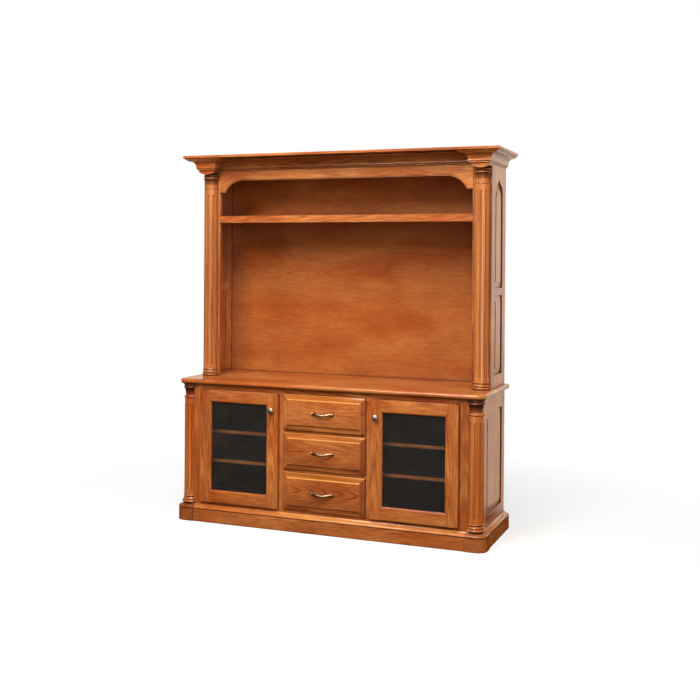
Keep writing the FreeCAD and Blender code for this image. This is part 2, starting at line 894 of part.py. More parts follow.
def right_door_knob():
    centre = at(door_inner_x + door_stile_width / 2, front_depth, door_top - knob_drop)
    stem = knob_stem_radius
    rim = knob_projection - knob_rim
    under = swell_arc((stem, knob_neck), (knob_radius, rim), knob_swell)
    crown = dome_arc(knob_radius, rim, knob_projection)
    steps = ((0, 0), (knob_foot_radius, 0), (knob_foot_radius, knob_foot_height),
             (stem, knob_foot_height), (stem, knob_neck), under, crown)
    wire = outline(lambda r, out: centre + Vector(r, -out, 0), *steps)
    return Part.Face(wire).revolve(centre, Vector(0, 1, 0), 360)


def right_door_bushes():
    bushes = []
    for bore in door_bores():
        base = bore.BoundBox.ZMin
        hole = Part.makeCylinder(pivot_pin_radius + pivot_clearance, bush_length, pivot_spot(base))
        bushes.append(bore.cut(hole))
    return Part.makeCompound(bushes)


def right_door_strike():
    x = (door_opening_x + strike_margin, door_opening_x + catch_width - strike_margin)
    z = catch_z()
    return block(x, (door_back_depth - strike_thickness, door_back_depth),
                 (z[0] + strike_margin, z[1] - strike_margin))


def catch_z():
    top = opening_top - catch_drop
    return top - catch_height, top


def door_catches():
    # magnetic catches on the edges of the inner stiles
    front = door_back_depth - strike_thickness - catch_clearance
    x = (door_opening_x, door_opening_x + catch_width)
    return both_sides(block(x, (front - catch_depth, front), catch_z()))


def pivot_bracket(door_edge, way):
    # a plate over or under the door, its tang let into the stile, and a pin; way is 1 above it
    near = door_edge + way * bracket_clearance
    far = near + way * bracket_thickness
    tip = door_back_depth + pivot_back_inset + pivot_side_inset
    plate = block((outer_stile_x, door_outer_x), (base_depth - bracket_tang, tip),
                  (min(near, far), max(near, far)))
    pin = Part.makeCylinder(pivot_pin_radius, pivot_pin_length + bracket_clearance,
                            pivot_spot(near), Vector(0, 0, -way))
    return fused(plate, pin)


def door_pivot_brackets():
    return both_sides(pivot_bracket(door_top, 1), pivot_bracket(door_bottom, -1))


# Drawers

def drawer_front(z):
    margin = drawer_margin
    sections = ((0, 0), (0, drawer_edge_thickness),
                (margin, drawer_edge_thickness + drawer_edge_rise),
                (margin + drawer_bevel, door_thickness - drawer_step),
                (margin + drawer_bevel, door_thickness))
    x = (-drawer_half_width, drawer_half_width)
    return raised_panel(lambda a, b, w: at(a, door_back_depth + w, b), x, z, 0, sections)


def drawer_box_reach(z):
    half = inner_stile_x - runner_space
    low = z[0] + overlay + drawer_box_gap_below
    high = z[1] - overlay - drawer_box_gap_above
    return half, (low, high)


def drawer_box(z):
    half, box_z = drawer_box_reach(z)
    side = drawer_box_side
    depth = (door_back_depth - drawer_box_length, door_back_depth)
    left = block((-half, side - half), depth, box_z)
    right = block((half - side, half), depth, box_z)
    inner = (side - half, half - side)
    front = block(inner, (depth[1] - side, depth[1]), box_z)
    rear = block(inner, (depth[0], depth[0] + side), box_z)
    floor_z = box_z[0] + drawer_bottom_height
    floor = block(inner, (depth[0] + side, depth[1] - side),
                  (floor_z, floor_z + drawer_bottom_thickness))
    return Part.makeCompound([left, right, front, rear, floor])


def channel(x, depth, z, metal, web_at_start):
    # a sheet channel along the depth, its web at the first or the second value of x
    solid = block(x, depth, z)
    inner_x = (x[0] + metal, x[1] + overrun) if web_at_start else (x[0] - overrun, x[1] - metal)
    hollow = block(inner_x, (depth[0] - overrun, depth[1] + overrun),
                   (z[0] + metal, z[1] - metal))
    return solid.cut(hollow)


def runner_levels(z):
    # heights of the cabinet channel of a drawer
    low, high = drawer_box_reach(z)[1]
    middle = (low + high) / 2
    return middle - runner_height / 2, middle + runner_height / 2


def drawer_slides(z):
    # the channels on the box, inside the cabinet's ones
    half = drawer_box_reach(z)[0]
    levels = runner_levels(z)
    slack = runner_metal + runner_clearance
    x = (half, inner_stile_x - slack)
    start = door_back_depth - drawer_box_length
    return both_sides(channel(x, (start, frame_back_depth), (levels[0] + slack, levels[1] - slack),
                              runner_metal, True))


def drawer_runners():
    channels = []
    x = (inner_stile_x - runner_flange, inner_stile_x)
    for z in (top_drawer, middle_drawer, bottom_drawer):
        depth = (frame_back_depth - runner_length, frame_back_depth)
        channels.append(channel(x, depth, runner_levels(z), runner_metal, False))
    return both_sides(*channels)


def drawer_pull(z):
    # a bowed bar with turned-out ends on two posts
    height_z = (z[0] + z[1]) / 2
    mid_out = pull_projection - pull_bar_radius
    end_x = pull_knee + pull_end_run
    slope = (mid_out - pull_end_out) / end_x
    knee_out = mid_out - pull_knee * slope
    turn = math.atan(slope)
    radius = pull_end_run / math.sin(turn + turn)
    bend = (end_x - radius * math.sin(turn), pull_end_out + radius * (1 - math.cos(turn)))

    def spot(x, out):
        return at(x, front_depth + out, height_z)

    middle = Part.Arc(spot(-pull_knee, knee_out), spot(0, mid_out), spot(pull_knee, knee_out))
    right = Part.Arc(spot(pull_knee, knee_out), spot(*bend), spot(end_x, pull_end_out))
    left = Part.Arc(spot(-end_x, pull_end_out), spot(-bend[0], bend[1]), spot(-pull_knee, knee_out))
    path = Part.Wire([left.toShape(), middle.toShape(), right.toShape()])
    ring = Part.Wire(Part.Circle(spot(-end_x, pull_end_out), Vector(1, 0, 0),
                                 pull_bar_radius).toShape())
    bar = path.makePipeShell([ring], True, False)
    pieces = []
    for way in (-1, 1):
        tip_x = way * end_x - pull_tip_length / 2
        pieces.append(Part.makeCylinder(pull_tip_radius, pull_tip_length,
                                        spot(tip_x, pull_end_out), Vector(1, 0, 0)))
        post_x = way * (end_x - pull_post_inset)
        post = Part.makeCylinder(pull_post_radius, pull_end_out + pull_bar_radius / 2,
                                 spot(post_x, 0), Vector(0, -1, 0))
        pieces.append(post)
        collar_x = way * pull_collar_place - pull_collar_width / 2
        pieces.append(Part.makeCylinder(pull_collar_radius, pull_collar_width,
                                        spot(collar_x, mid_out - collar_drop(mid_out, knee_out)),
                                        Vector(1, 0, 0)))
    return fused(bar, *pieces)


def collar_drop(mid_out, knee_out):
    # how far the bar has come back towards the front where the collars sit
    sag = mid_out - knee_out
    radius = (pull_knee ** 2 + sag ** 2) / (sag * 2)
    return radius - math.sqrt(radius ** 2 - pull_collar_place ** 2)


nodes = {
    "plinth_front_board": plinth_front_board(),
    "plinth_side_boards": plinth_side_boards(),
    "plinth_corner_blocks": plinth_corner_blocks(),
    "plinth_cap_mouldings": plinth_cap_mouldings(),
    "base_floor": base_floor(),
    "base_back": base_back(),
    "base_side_stiles": base_side_stiles(),
    "base_side_rails": base_side_rails(),
    "base_side_panels": base_side_panels(),
    "base_partitions": base_partitions(),
    "face_frame_stiles": face_frame_stiles(),
    "face_frame_rails": face_frame_rails(),
    "corner_posts": corner_posts(),
    "left_base_column": left_base_column(),
    "right_base_column": right_base_column(),
    "cabinet_shelves": cabinet_shelves(),
    "shelf_pins": shelf_pins(),
    "drawer_runners": drawer_runners(),
    "base_top": base_top(),
    "hutch_side_stiles": hutch_side_stiles(),
    "hutch_side_rails": hutch_side_rails(),
    "hutch_side_panels": hutch_side_panels(),
    "hutch_front_stiles": hutch_front_stiles(),
    "left_hutch_column": left_hutch_column(),
    "right_hutch_column": right_hutch_column(),
    "column_cap_blocks": column_cap_blocks(),
    "valance": valance(),
    "hutch_shelf": hutch_shelf(),
    "hutch_shelf_rail": hutch_shelf_rail(),
    "hutch_back": hutch_back(),
    "hutch_top_panel": hutch_top_panel(),
    "crown_mouldings": crown_mouldings(),
    "crown_top_board": crown_top_board(),
    "door_pivot_brackets": door_pivot_brackets(),
    "door_catches": door_catches(),
}

for piece, make in (("frame", right_door_frame), ("glass", right_door_glass),
                    ("glass_stops", right_door_glass_stops), ("knob", right_door_knob),
                    ("bushes", right_door_bushes), ("strike", right_door_strike)):
    shape = make()
    nodes["right_door_" + piece] = shape
    nodes["left_door_" + piece] = mirrored(shape)

for level, z in (("top", top_drawer), ("middle", middle_drawer), ("bottom", bottom_drawer)):
    nodes[level + "_drawer_front"] = drawer_front(z)
    nodes[level + "_drawer_box"] = drawer_box(z)
    nodes[level + "_drawer_slides"] = drawer_slides(z)
    nodes[level + "_drawer_pull"] = drawer_pull(z)

os.makedirs("parts", exist_ok=True)
for name, shape in nodes.items():
    shape.exportStep("parts/" + name + ".step")
    valid = "valid" if shape.isValid() else "NOT VALID"
    print(f"{name}: {len(shape.Solids)} solids, {shape.Volume / 1000:.1f} cm3, {valid}")
print(len(nodes), "nodes")
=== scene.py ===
import bmesh
import bpy
import json
import math
import random
from mathutils import Matrix, Vector


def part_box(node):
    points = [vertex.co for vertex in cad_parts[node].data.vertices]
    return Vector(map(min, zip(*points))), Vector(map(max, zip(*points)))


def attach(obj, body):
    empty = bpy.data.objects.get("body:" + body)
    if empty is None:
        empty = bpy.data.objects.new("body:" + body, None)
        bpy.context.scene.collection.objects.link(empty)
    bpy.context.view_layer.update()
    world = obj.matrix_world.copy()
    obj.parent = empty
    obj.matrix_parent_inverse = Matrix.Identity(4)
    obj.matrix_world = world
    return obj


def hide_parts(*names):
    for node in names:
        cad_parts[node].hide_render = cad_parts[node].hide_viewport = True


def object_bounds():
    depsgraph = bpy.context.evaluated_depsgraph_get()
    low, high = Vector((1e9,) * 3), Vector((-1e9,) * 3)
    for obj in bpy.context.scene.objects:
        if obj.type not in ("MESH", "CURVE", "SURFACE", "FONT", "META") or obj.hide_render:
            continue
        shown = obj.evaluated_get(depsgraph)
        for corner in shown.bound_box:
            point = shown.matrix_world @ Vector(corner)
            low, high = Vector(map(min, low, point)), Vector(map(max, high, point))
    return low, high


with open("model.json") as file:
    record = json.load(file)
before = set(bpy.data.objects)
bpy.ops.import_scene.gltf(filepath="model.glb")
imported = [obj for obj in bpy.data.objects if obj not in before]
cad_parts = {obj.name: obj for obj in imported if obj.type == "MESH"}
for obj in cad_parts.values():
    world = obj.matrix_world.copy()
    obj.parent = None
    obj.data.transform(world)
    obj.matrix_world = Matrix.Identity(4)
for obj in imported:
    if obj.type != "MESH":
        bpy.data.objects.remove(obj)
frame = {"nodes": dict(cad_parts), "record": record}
cadNodes = frame["nodes"]
cadBox = [list(corner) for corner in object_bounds()]


def linear(hexColour):
    # sRGB hex to Blender's linear colour
    channels = [int(hexColour[i:i + 2], 16) / 255 for i in (1, 3, 5)]
    return [c / 12.92 if c <= 0.04045 else ((c + 0.055) / 1.055) ** 2.4 for c in channels] + [1]


def addNode(tree, kind, inputs=None, **settings):
    # one node; inputs maps a socket's name or number to a value, a node or another node's socket
    node = tree.nodes.new(kind)
    for name, value in settings.items():
        setattr(node, name, value)
    for key, value in (inputs or {}).items():
        if isinstance(value, bpy.types.Node):
            value = value.outputs[0]
        if isinstance(value, bpy.types.NodeSocket):
            tree.links.new(value, node.inputs[key])
        else:
            node.inputs[key].default_value = value
    return node


def newMaterial(name):
    material = bpy.data.materials.new(name)
    material.use_nodes = True
    material.node_tree.nodes.clear()
    return material, material.node_tree


# Camera: the photograph's place and lens, solved from the cabinet's own corners

cameraSetup = {
    "place": (2.1767, -5.4454, 1.4909),
    "turnedLeft": 0.3821,
    "pitch": -0.0037,
    "roll": 0.0071,
    "lens": 53.69,
    "sensor": 36,
    "shift": (0.0143, -0.125),
    "farthest": 100,
}


def makeCamera(setup):
    data = bpy.data.cameras.new("photoCamera")
    data.sensor_width = setup["sensor"]
    data.lens = setup["lens"]
    data.shift_x, data.shift_y = setup["shift"]
    data.clip_end = setup["farthest"]
    camera = bpy.data.objects.new("photoCamera", data)
    turn = Matrix.Rotation(setup["turnedLeft"], 4, "Z") @ Matrix.Rotation(setup["pitch"], 4, "X")
    turn = turn @ Matrix.Rotation(-setup["roll"], 4, "Y") @ Matrix.Rotation(math.pi / 2, 4, "X")
    camera.matrix_world = Matrix.Translation(setup["place"]) @ turn
    bpy.context.scene.collection.objects.link(camera)
    bpy.context.scene.camera = camera


makeCamera(cameraSetup)
print("camera")


# Studio: the white surround that the camera sees, and the room that the lacquer mirrors, with a
# dark side behind the camera, a white wall behind the cabinet and a brown floor

studio = {
    "surround": "#FFFFFF",
    "worldLight": (0.10, 2.2),  # on the wood, from the left and from the right
    "lightTurn": (0.3, 1.0),  # how far to the right that light begins and is full
    "mirroredWall": "#FFF1DC",
    "darkRoom": 0.05,
    "paleWall": 1.4,
    "wallEdge": (0.72, 0.90),  # how far to the back it begins and is full
    "paleFloor": 0.95,
    "wallFoot": (0.50, 0.80),  # where the mirrored floor begins to pale and is full, in metres
    "roomFloor": "#3A2013",
    "roomFloorGlow": 0.5,
    "floorSize": 24.0,
    "floorPaint": "#F4F2EF",
    "floorWhite": (0.72, 1.0),  # share of plain white near the cabinet and far from it
    "floorReach": (1.0, 2.4),  # where it begins to rise and is full, in metres
    "lamps": [
        # name, place, target, width, height, watts, and whether the lacquer mirrors it
        ("keyLamp", (-0.8, -4.3, 4.2), (0, 0, 1.3), 2.0, 1.6, 208, True),
        ("fillLamp", (2.2, -5.2, 1.6), (0, 0, 1.2), 0.9, 2.9, 66, True),
        ("windowLamp", (-2.5, -2.0, 1.5), (0, 0, 1.1), 0.4, 2.6, 17, False),
        ("topLamp", (0.4, -2.4, 4.4), (0, 0, 1.0), 2.0, 1.2, 150, True),
    ],
}


def makeWorld(setup):
    # white to the camera, a dark room with a pale wall to the lacquer, and light from the right
    world = bpy.data.worlds.new("studioSurround")
    bpy.context.scene.world = world
    world.use_nodes = True
    tree = world.node_tree
    tree.nodes.clear()
    path = addNode(tree, "ShaderNodeLightPath").outputs
    way = addNode(tree, "ShaderNodeTexCoord").outputs["Generated"]
    apart = addNode(tree, "ShaderNodeSeparateXYZ", {0: way})
    mirrored = addNode(tree, "ShaderNodeMapRange", {
        "Value": apart.outputs[1], "From Min": setup["wallEdge"][0],
        "From Max": setup["wallEdge"][1],
        "To Min": setup["darkRoom"], "To Max": setup["paleWall"]})
    shone = addNode(tree, "ShaderNodeMapRange", {
        "Value": apart.outputs[0], "From Min": setup["lightTurn"][0],
        "From Max": setup["lightTurn"][1],
        "To Min": setup["worldLight"][0], "To Max": setup["worldLight"][1]})
    lit = addNode(tree, "ShaderNodeMix", {0: path["Is Glossy Ray"], 2: shone, 3: mirrored})
    seen = addNode(tree, "ShaderNodeMath", {0: path["Is Camera Ray"],
                                            1: path["Is Transmission Ray"]}, operation="MAXIMUM")
    strength = addNode(tree, "ShaderNodeMix", {0: seen, 2: lit, 3: 1.0})
    hue = addNode(tree, "ShaderNodeMix", {0: seen, 6: linear(setup["mirroredWall"]),
                                          7: linear(setup["surround"])}, data_type="RGBA")
    light = addNode(tree, "ShaderNodeBackground", {"Color": hue.outputs[2], "Strength": strength})
    addNode(tree, "ShaderNodeOutputWorld", {"Surface": light})


def makeLamps(setup):
    for name, place, target, width, height, watts, mirrored in setup["lamps"]:
        data = bpy.data.lights.new(name, "AREA")
        data.shape = "RECTANGLE"
        data.size, data.size_y, data.energy = width, height, watts
        lamp = bpy.data.objects.new(name, data)
        lamp.location = place
        way = Vector(target) - Vector(place)
        lamp.rotation_euler = way.to_track_quat("-Z", "Y").to_euler()
        lamp.visible_glossy = mirrored
        bpy.context.scene.collection.objects.link(lamp)


def makeFloor(setup):
    # white to the camera, apart from the cabinet's shadow, and the brown room floor to the lacquer
    half = setup["floorSize"] / 2
    mesh = bpy.data.meshes.new("studioFloor")
    corners = [(-half, -half, 0), (half, -half, 0), (half, half, 0), (-half, half, 0)]
    mesh.from_pydata(corners, [], [(0, 1, 2, 3)])
    material, tree = newMaterial("paleFloorPaint")
    path = addNode(tree, "ShaderNodeLightPath").outputs
    place = addNode(tree, "ShaderNodeNewGeometry").outputs["Position"]
    reach = addNode(tree, "ShaderNodeVectorMath", {0: place}, operation="LENGTH").outputs["Value"]
    fade = addNode(tree, "ShaderNodeMapRange", {
        "Value": reach, "From Min": setup["floorReach"][0], "From Max": setup["floorReach"][1],
        "To Min": setup["floorWhite"][0], "To Max": setup["floorWhite"][1]})
    share = addNode(tree, "ShaderNodeMath", {0: fade, 1: path["Is Camera Ray"]},
                    operation="MULTIPLY")
    paint = addNode(tree, "ShaderNodeMix", {0: path["Is Camera Ray"],
                                            6: linear(setup["roomFloor"]),
                                            7: linear(setup["floorPaint"])}, data_type="RGBA")
    paint = addNode(tree, "ShaderNodeBsdfDiffuse", {"Color": paint.outputs[2]})
    white = addNode(tree, "ShaderNodeEmission", {"Color": linear(setup["surround"])})
    shown = addNode(tree, "ShaderNodeMixShader", {0: share, 1: paint, 2: white})
    apart = addNode(tree, "ShaderNodeSeparateXYZ", {0: place})
    wall = addNode(tree, "ShaderNodeMapRange", {
        "Value": apart.outputs[1], "From Min": setup["wallFoot"][0],
        "From Max": setup["wallFoot"][1], "To Min": 0.0, "To Max": setup["paleFloor"]})
    pale = addNode(tree, "ShaderNodeEmission", {"Color": linear(setup["mirroredWall"]),
                                                "Strength": wall})
    brown = addNode(tree, "ShaderNodeEmission", {"Color": linear(setup["roomFloor"]),
                                                 "Strength": setup["roomFloorGlow"]})
    room = addNode(tree, "ShaderNodeAddShader", {0: pale, 1: brown})
    both = addNode(tree, "ShaderNodeMixShader", {0: path["Is Glossy Ray"], 1: shown, 2: room})
    addNode(tree, "ShaderNodeOutputMaterial", {"Surface": both})
    mesh.materials.append(material)
    floor = bpy.data.objects.new("studioFloor", mesh)
    bpy.context.scene.collection.objects.link(floor)


makeWorld(studio)
makeLamps(studio)
makeFloor(studio)
bpy.context.scene.view_settings.view_transform = "Standard"
print("studio")


# Each board's own place in its log: grain runs along its longest side

log = {
    # limits of a board's place: off the log's side, away from its heart, along it, in metres
    "near": (-0.05, 0.035, -4.0),
    "far": (0.05, 0.11, 4.0),
    "weld": 0.00001,
    "seed": 11,
}


def boardPlaceGroup(setup):
    # stores on every board its centred place (across, through, along) and a number of its own
    tree = bpy.data.node_groups.new("boardPlace", "GeometryNodeTree")
    for name, kind, way in (("Geometry", "NodeSocketGeometry", "INPUT"),
                            ("Lean", "NodeSocketVector", "INPUT"),
                            ("Stretch", "NodeSocketFloat", "INPUT"),
                            ("Tone", "NodeSocketFloat", "INPUT"),
                            ("OwnNormals", "NodeSocketBool", "INPUT"),
                            ("Seed", "NodeSocketInt", "INPUT"),
                            ("Geometry", "NodeSocketGeometry", "OUTPUT")):
        tree.interface.new_socket(name, in_out=way, socket_type=kind)
    given = addNode(tree, "NodeGroupInput").outputs
    welded = addNode(tree, "GeometryNodeMergeByDistance",
                     {"Geometry": given["Geometry"], "Distance": setup["weld"]})
    island = addNode(tree, "GeometryNodeInputMeshIsland").outputs["Island Index"]
    place = addNode(tree, "GeometryNodeInputPosition")

    def total(value):
        node = addNode(tree, "GeometryNodeAccumulateField", {"Group ID": island},
                       data_type="FLOAT_VECTOR")
        tree.links.new(value, node.inputs[0])
        return node.outputs["Total"]

    one = addNode(tree, "ShaderNodeCombineXYZ", {0: 1.0, 1: 1.0, 2: 1.0})
    count = total(one.outputs[0])
    centre = addNode(tree, "ShaderNodeVectorMath", {0: total(place.outputs[0]), 1: count},
                     operation="DIVIDE")
    offset = addNode(tree, "ShaderNodeVectorMath", {0: place, 1: centre}, operation="SUBTRACT")
    leaned = addNode(tree, "ShaderNodeVectorMath", {0: offset, 1: given["Lean"]},
                     operation="MULTIPLY")
    square = addNode(tree, "ShaderNodeVectorMath", {0: leaned, 1: leaned}, operation="MULTIPLY")
    spread = addNode(tree, "ShaderNodeVectorMath", {0: total(square.outputs[0]), 1: count},
                     operation="DIVIDE")
    apart = addNode(tree, "ShaderNodeSeparateXYZ", {0: spread})

    def extreme(operation):
        first = addNode(tree, "ShaderNodeMath", {0: apart.outputs[0], 1: apart.outputs[1]},
                        operation=operation)
        return addNode(tree, "ShaderNodeMath", {0: first, 1: apart.outputs[2]},
                       operation=operation)

    most = addNode(tree, "ShaderNodeVectorMath", {0: spread, 1: extreme("MAXIMUM")},
                   operation="SUBTRACT")
    most = addNode(tree, "ShaderNodeVectorMath", {0: most}, operation="SIGN")
    along = addNode(tree, "ShaderNodeVectorMath", {0: most, 1: one}, operation="ADD")
    least = addNode(tree, "ShaderNodeVectorMath", {0: spread, 1: extreme("MINIMUM")},
                    operation="SUBTRACT")
    least = addNode(tree, "ShaderNodeVectorMath", {0: least}, operation="SIGN")
    through = addNode(tree, "ShaderNodeVectorMath", {0: one, 1: least}, operation="SUBTRACT")
    across = addNode(tree, "ShaderNodeVectorMath", {0: one, 1: along}, operation="SUBTRACT")
    across = addNode(tree, "ShaderNodeVectorMath", {0: across, 1: through}, operation="SUBTRACT")
    parts = [addNode(tree, "ShaderNodeVectorMath", {0: offset, 1: way},
                     operation="DOT_PRODUCT").outputs["Value"] for way in (across, through, along)]
    run = addNode(tree, "ShaderNodeMath", {0: parts[2], 1: given["Stretch"]},
                  operation="MULTIPLY")
    turned = addNode(tree, "ShaderNodeCombineXYZ", {0: parts[0], 1: parts[1], 2: run})
    shift = addNode(tree, "FunctionNodeRandomValue",
                    {"Min": setup["near"], "Max": setup["far"], "ID": island,
                     "Seed": given["Seed"]}, data_type="FLOAT_VECTOR")
    final = addNode(tree, "ShaderNodeVectorMath", {0: turned, 1: shift}, operation="ADD")
    tone = addNode(tree, "FunctionNodeRandomValue", {"ID": island, "Seed": given["Seed"]},
                   data_type="FLOAT")
    tone = addNode(tree, "ShaderNodeMath", {0: tone.outputs[1], 1: given["Tone"]})
    boards = given["Geometry"]
    values = (("boardPlace", "FLOAT_VECTOR", final.outputs[0]),
              ("boardTone", "FLOAT", tone.outputs[0]))
    for name, kind, value in values:
        welded = addNode(tree, "GeometryNodeStoreNamedAttribute",
                         {"Geometry": welded, "Name": name, "Value": value}, data_type=kind,
                         domain="POINT")
    # turned pieces keep their own mesh with its normals, and read the values off the welded one
    nearest = addNode(tree, "GeometryNodeSampleNearest", {"Geometry": welded}, domain="POINT")
    for name, kind, value in values:
        stored = addNode(tree, "GeometryNodeInputNamedAttribute", {"Name": name}, data_type=kind)
        read = addNode(tree, "GeometryNodeSampleIndex",
                       {"Geometry": welded, "Value": stored, "Index": nearest}, data_type=kind,
                       domain="POINT")
        boards = addNode(tree, "GeometryNodeStoreNamedAttribute",
                         {"Geometry": boards, "Name": name, "Value": read}, data_type=kind,
                         domain="POINT")
    either = addNode(tree, "GeometryNodeSwitch",
                     {"Switch": given["OwnNormals"], "False": welded, "True": boards},
                     input_type="GEOMETRY")
    addNode(tree, "NodeGroupOutput", {"Geometry": either})
    return tree


boardPlace = boardPlaceGroup(log)
print("board places")


# Materials

def layered(tree, layers):
    # a middle value of 0.5 moved up and down by each layer's (value, strength)
    total = 0.5
    for value, strength in layers:
        swing = addNode(tree, "ShaderNodeMath", {0: value, 1: 0.5}, operation="SUBTRACT")
        total = addNode(tree, "ShaderNodeMath", {0: swing, 1: strength, 2: total},
                        operation="MULTIPLY_ADD")
    return total


def hollowsAndPaintedShade(tree, look, colour):
    # colour turned towards the look's dark colour for hollows: in grooves and inside corners
    # partly as glaze and patina and partly as painted shade, and on surfaces that face down as
    # painted shade
    # painted shade in grooves and inside corners, by how closed in they are
    openness = addNode(tree, "ShaderNodeAmbientOcclusion", {"Distance": look["hollowReach"]},
                       samples=look["hollowSamples"]).outputs["AO"]
    dark = addNode(tree, "ShaderNodeMapRange", {
        "Value": openness, "From Min": look["hollowOpen"][0], "From Max": look["hollowOpen"][1],
        "To Min": look["hollowShade"], "To Max": 0.0})
    # painted shade on surfaces that face down, as if lit from above
    facing = addNode(tree, "ShaderNodeNewGeometry").outputs["Normal"]
    facing = addNode(tree, "ShaderNodeSeparateXYZ", {0: facing}).outputs[2]
    under = addNode(tree, "ShaderNodeMapRange", {
        "Value": facing, "From Min": look["paintedUnderShade"][0], "From Max": look["paintedUnderShade"][1],
        "To Min": look["paintedUnderShade"][2], "To Max": 0.0})
    dark = addNode(tree, "ShaderNodeMath", {0: dark, 1: under}, operation="MAXIMUM")
    return addNode(tree, "ShaderNodeMix", {0: dark, 6: colour, 7: linear(look["hollow"])},
                   data_type="RGBA").outputs[2]


def lacqueredWood(name, look):
    # plain-sawn board under stain and satin lacquer: growth rings cut to tall arches, fine fibre
    # streaks, short dark pores and a patchy stain, with glaze and painted shade dark in every
    # groove, painted shade on every surface that faces down, and painted light on upward slopes
    # where asked
    material, tree = newMaterial(name)
    place = addNode(tree, "ShaderNodeAttribute", attribute_name="boardPlace").outputs["Vector"]
    tone = addNode(tree, "ShaderNodeAttribute", attribute_name="boardTone").outputs["Fac"]

    def pattern(kind, spot):
        # a cloudy pattern with its own width across the grain, drawn out along it
        width, run, detail, roughness = look["patterns"][kind]
        drawn = addNode(tree, "ShaderNodeVectorMath", {0: spot, 1: (1.0, 1.0, run)},
                        operation="MULTIPLY")
        return addNode(tree, "ShaderNodeTexNoise", {
            "Vector": drawn, "Scale": 1 / width, "Detail": detail,
            "Roughness": roughness}).outputs

    # growth rings round the heart of the log, which wanders and leans along the board
    wander = addNode(tree, "ShaderNodeVectorMath", {0: pattern("wander", place)["Color"],
                                                    1: (0.5, 0.5, 0.5)}, operation="SUBTRACT")
    wander = addNode(tree, "ShaderNodeVectorMath", {0: wander, "Scale": look["wander"]},
                     operation="SCALE")
    moved = addNode(tree, "ShaderNodeVectorMath", {0: place, 1: wander}, operation="ADD")
    apart = addNode(tree, "ShaderNodeSeparateXYZ", {0: moved})
    lean = addNode(tree, "ShaderNodeMath", {0: apart.outputs[2], 1: look["lean"],
                                            2: apart.outputs[1]}, operation="MULTIPLY_ADD")
    flat = addNode(tree, "ShaderNodeCombineXYZ", {0: apart.outputs[0], 1: lean})
    radius = addNode(tree, "ShaderNodeVectorMath", {0: flat}, operation="LENGTH").outputs["Value"]
    season = addNode(tree, "ShaderNodeMath", {0: radius, 1: math.tau / look["ringWidth"]},
                     operation="MULTIPLY")
    season = addNode(tree, "ShaderNodeMath", {0: season}, operation="SINE")
    ring = addNode(tree, "ShaderNodeMapRange", {"Value": season, "From Min": -1.0})
    late = addNode(tree, "ShaderNodeMath", {0: ring, 1: look["lateWood"]}, operation="POWER")
    # the rings show well in some places and hardly in others
    shown = addNode(tree, "ShaderNodeMapRange", {
        "Value": pattern("fade", place)[0], "From Min": look["fadeRange"][0],
        "From Max": look["fadeRange"][1], "To Min": look["leastRing"]})
    late = addNode(tree, "ShaderNodeMath", {0: late, 1: look["meanRing"]}, operation="SUBTRACT")
    late = addNode(tree, "ShaderNodeMath", {0: late, 1: shown, 2: 0.5}, operation="MULTIPLY_ADD")

    fibre = pattern("fibre", moved)[0]
    shade = layered(tree, [(late, -look["ringShade"]), (fibre, look["fibreShade"]),
                           (pattern("fleck", moved)[0], look["fleckShade"]),
                           (pattern("patch", place)[0], look["patchShade"]),
                           (tone, look["boardShade"])])
    ramp = addNode(tree, "ShaderNodeValToRGB", {0: shade})
    stops = look["colours"]
    while len(ramp.color_ramp.elements) < len(stops):
        ramp.color_ramp.elements.new(0.5)
    for stop, (spot, colour) in zip(ramp.color_ramp.elements, stops):
        stop.position, stop.color = spot, linear(colour)
    # the stain took redder in some places than in others
    blush = addNode(tree, "ShaderNodeMapRange", {
        "Value": pattern("blush", moved)[0], "From Min": look["blushRange"][0],
        "From Max": look["blushRange"][1]})
    colour = addNode(tree, "ShaderNodeMix", {0: blush, 6: ramp, 7: linear(look["blush"])},
                     data_type="RGBA", blend_type="MULTIPLY").outputs[2]

    pore = addNode(tree, "ShaderNodeMapRange", {
        "Value": pattern("pore", moved)[0], "From Min": look["poreRange"][0],
        "From Max": look["poreRange"][1], "To Min": 0.0, "To Max": look["poreShade"]})
    colour = addNode(tree, "ShaderNodeMix", {0: pore, 6: colour, 7: linear(look["poreColour"])},
                     data_type="RGBA").outputs[2]

    # a darker band between two places along an axis, with a soft edge: painted shade on the drawer
    # fronts' right bevels and towards the valance's left end, elsewhere a darker colour
    if "darker" in look:
        axis, low, high, share, soft = look["darker"]
        spot = addNode(tree, "ShaderNodeTexCoord").outputs["Object"]
        spot = addNode(tree, "ShaderNodeSeparateXYZ", {0: spot}).outputs[axis]
        spot = addNode(tree, "ShaderNodeMath", {0: spot, 1: (low + high) / 2},
                       operation="SUBTRACT")
        spot = addNode(tree, "ShaderNodeMath", {0: spot}, operation="ABSOLUTE")
        drunk = addNode(tree, "ShaderNodeMapRange", {
            "Value": spot, "From Min": (high - low) / 2 - soft, "From Max": (high - low) / 2,
            "To Min": share, "To Max": 0.0})
        colour = addNode(tree, "ShaderNodeMix", {0: drunk, 6: colour,
                                                 7: linear(look["darkBand"])},
                         data_type="RGBA").outputs[2]

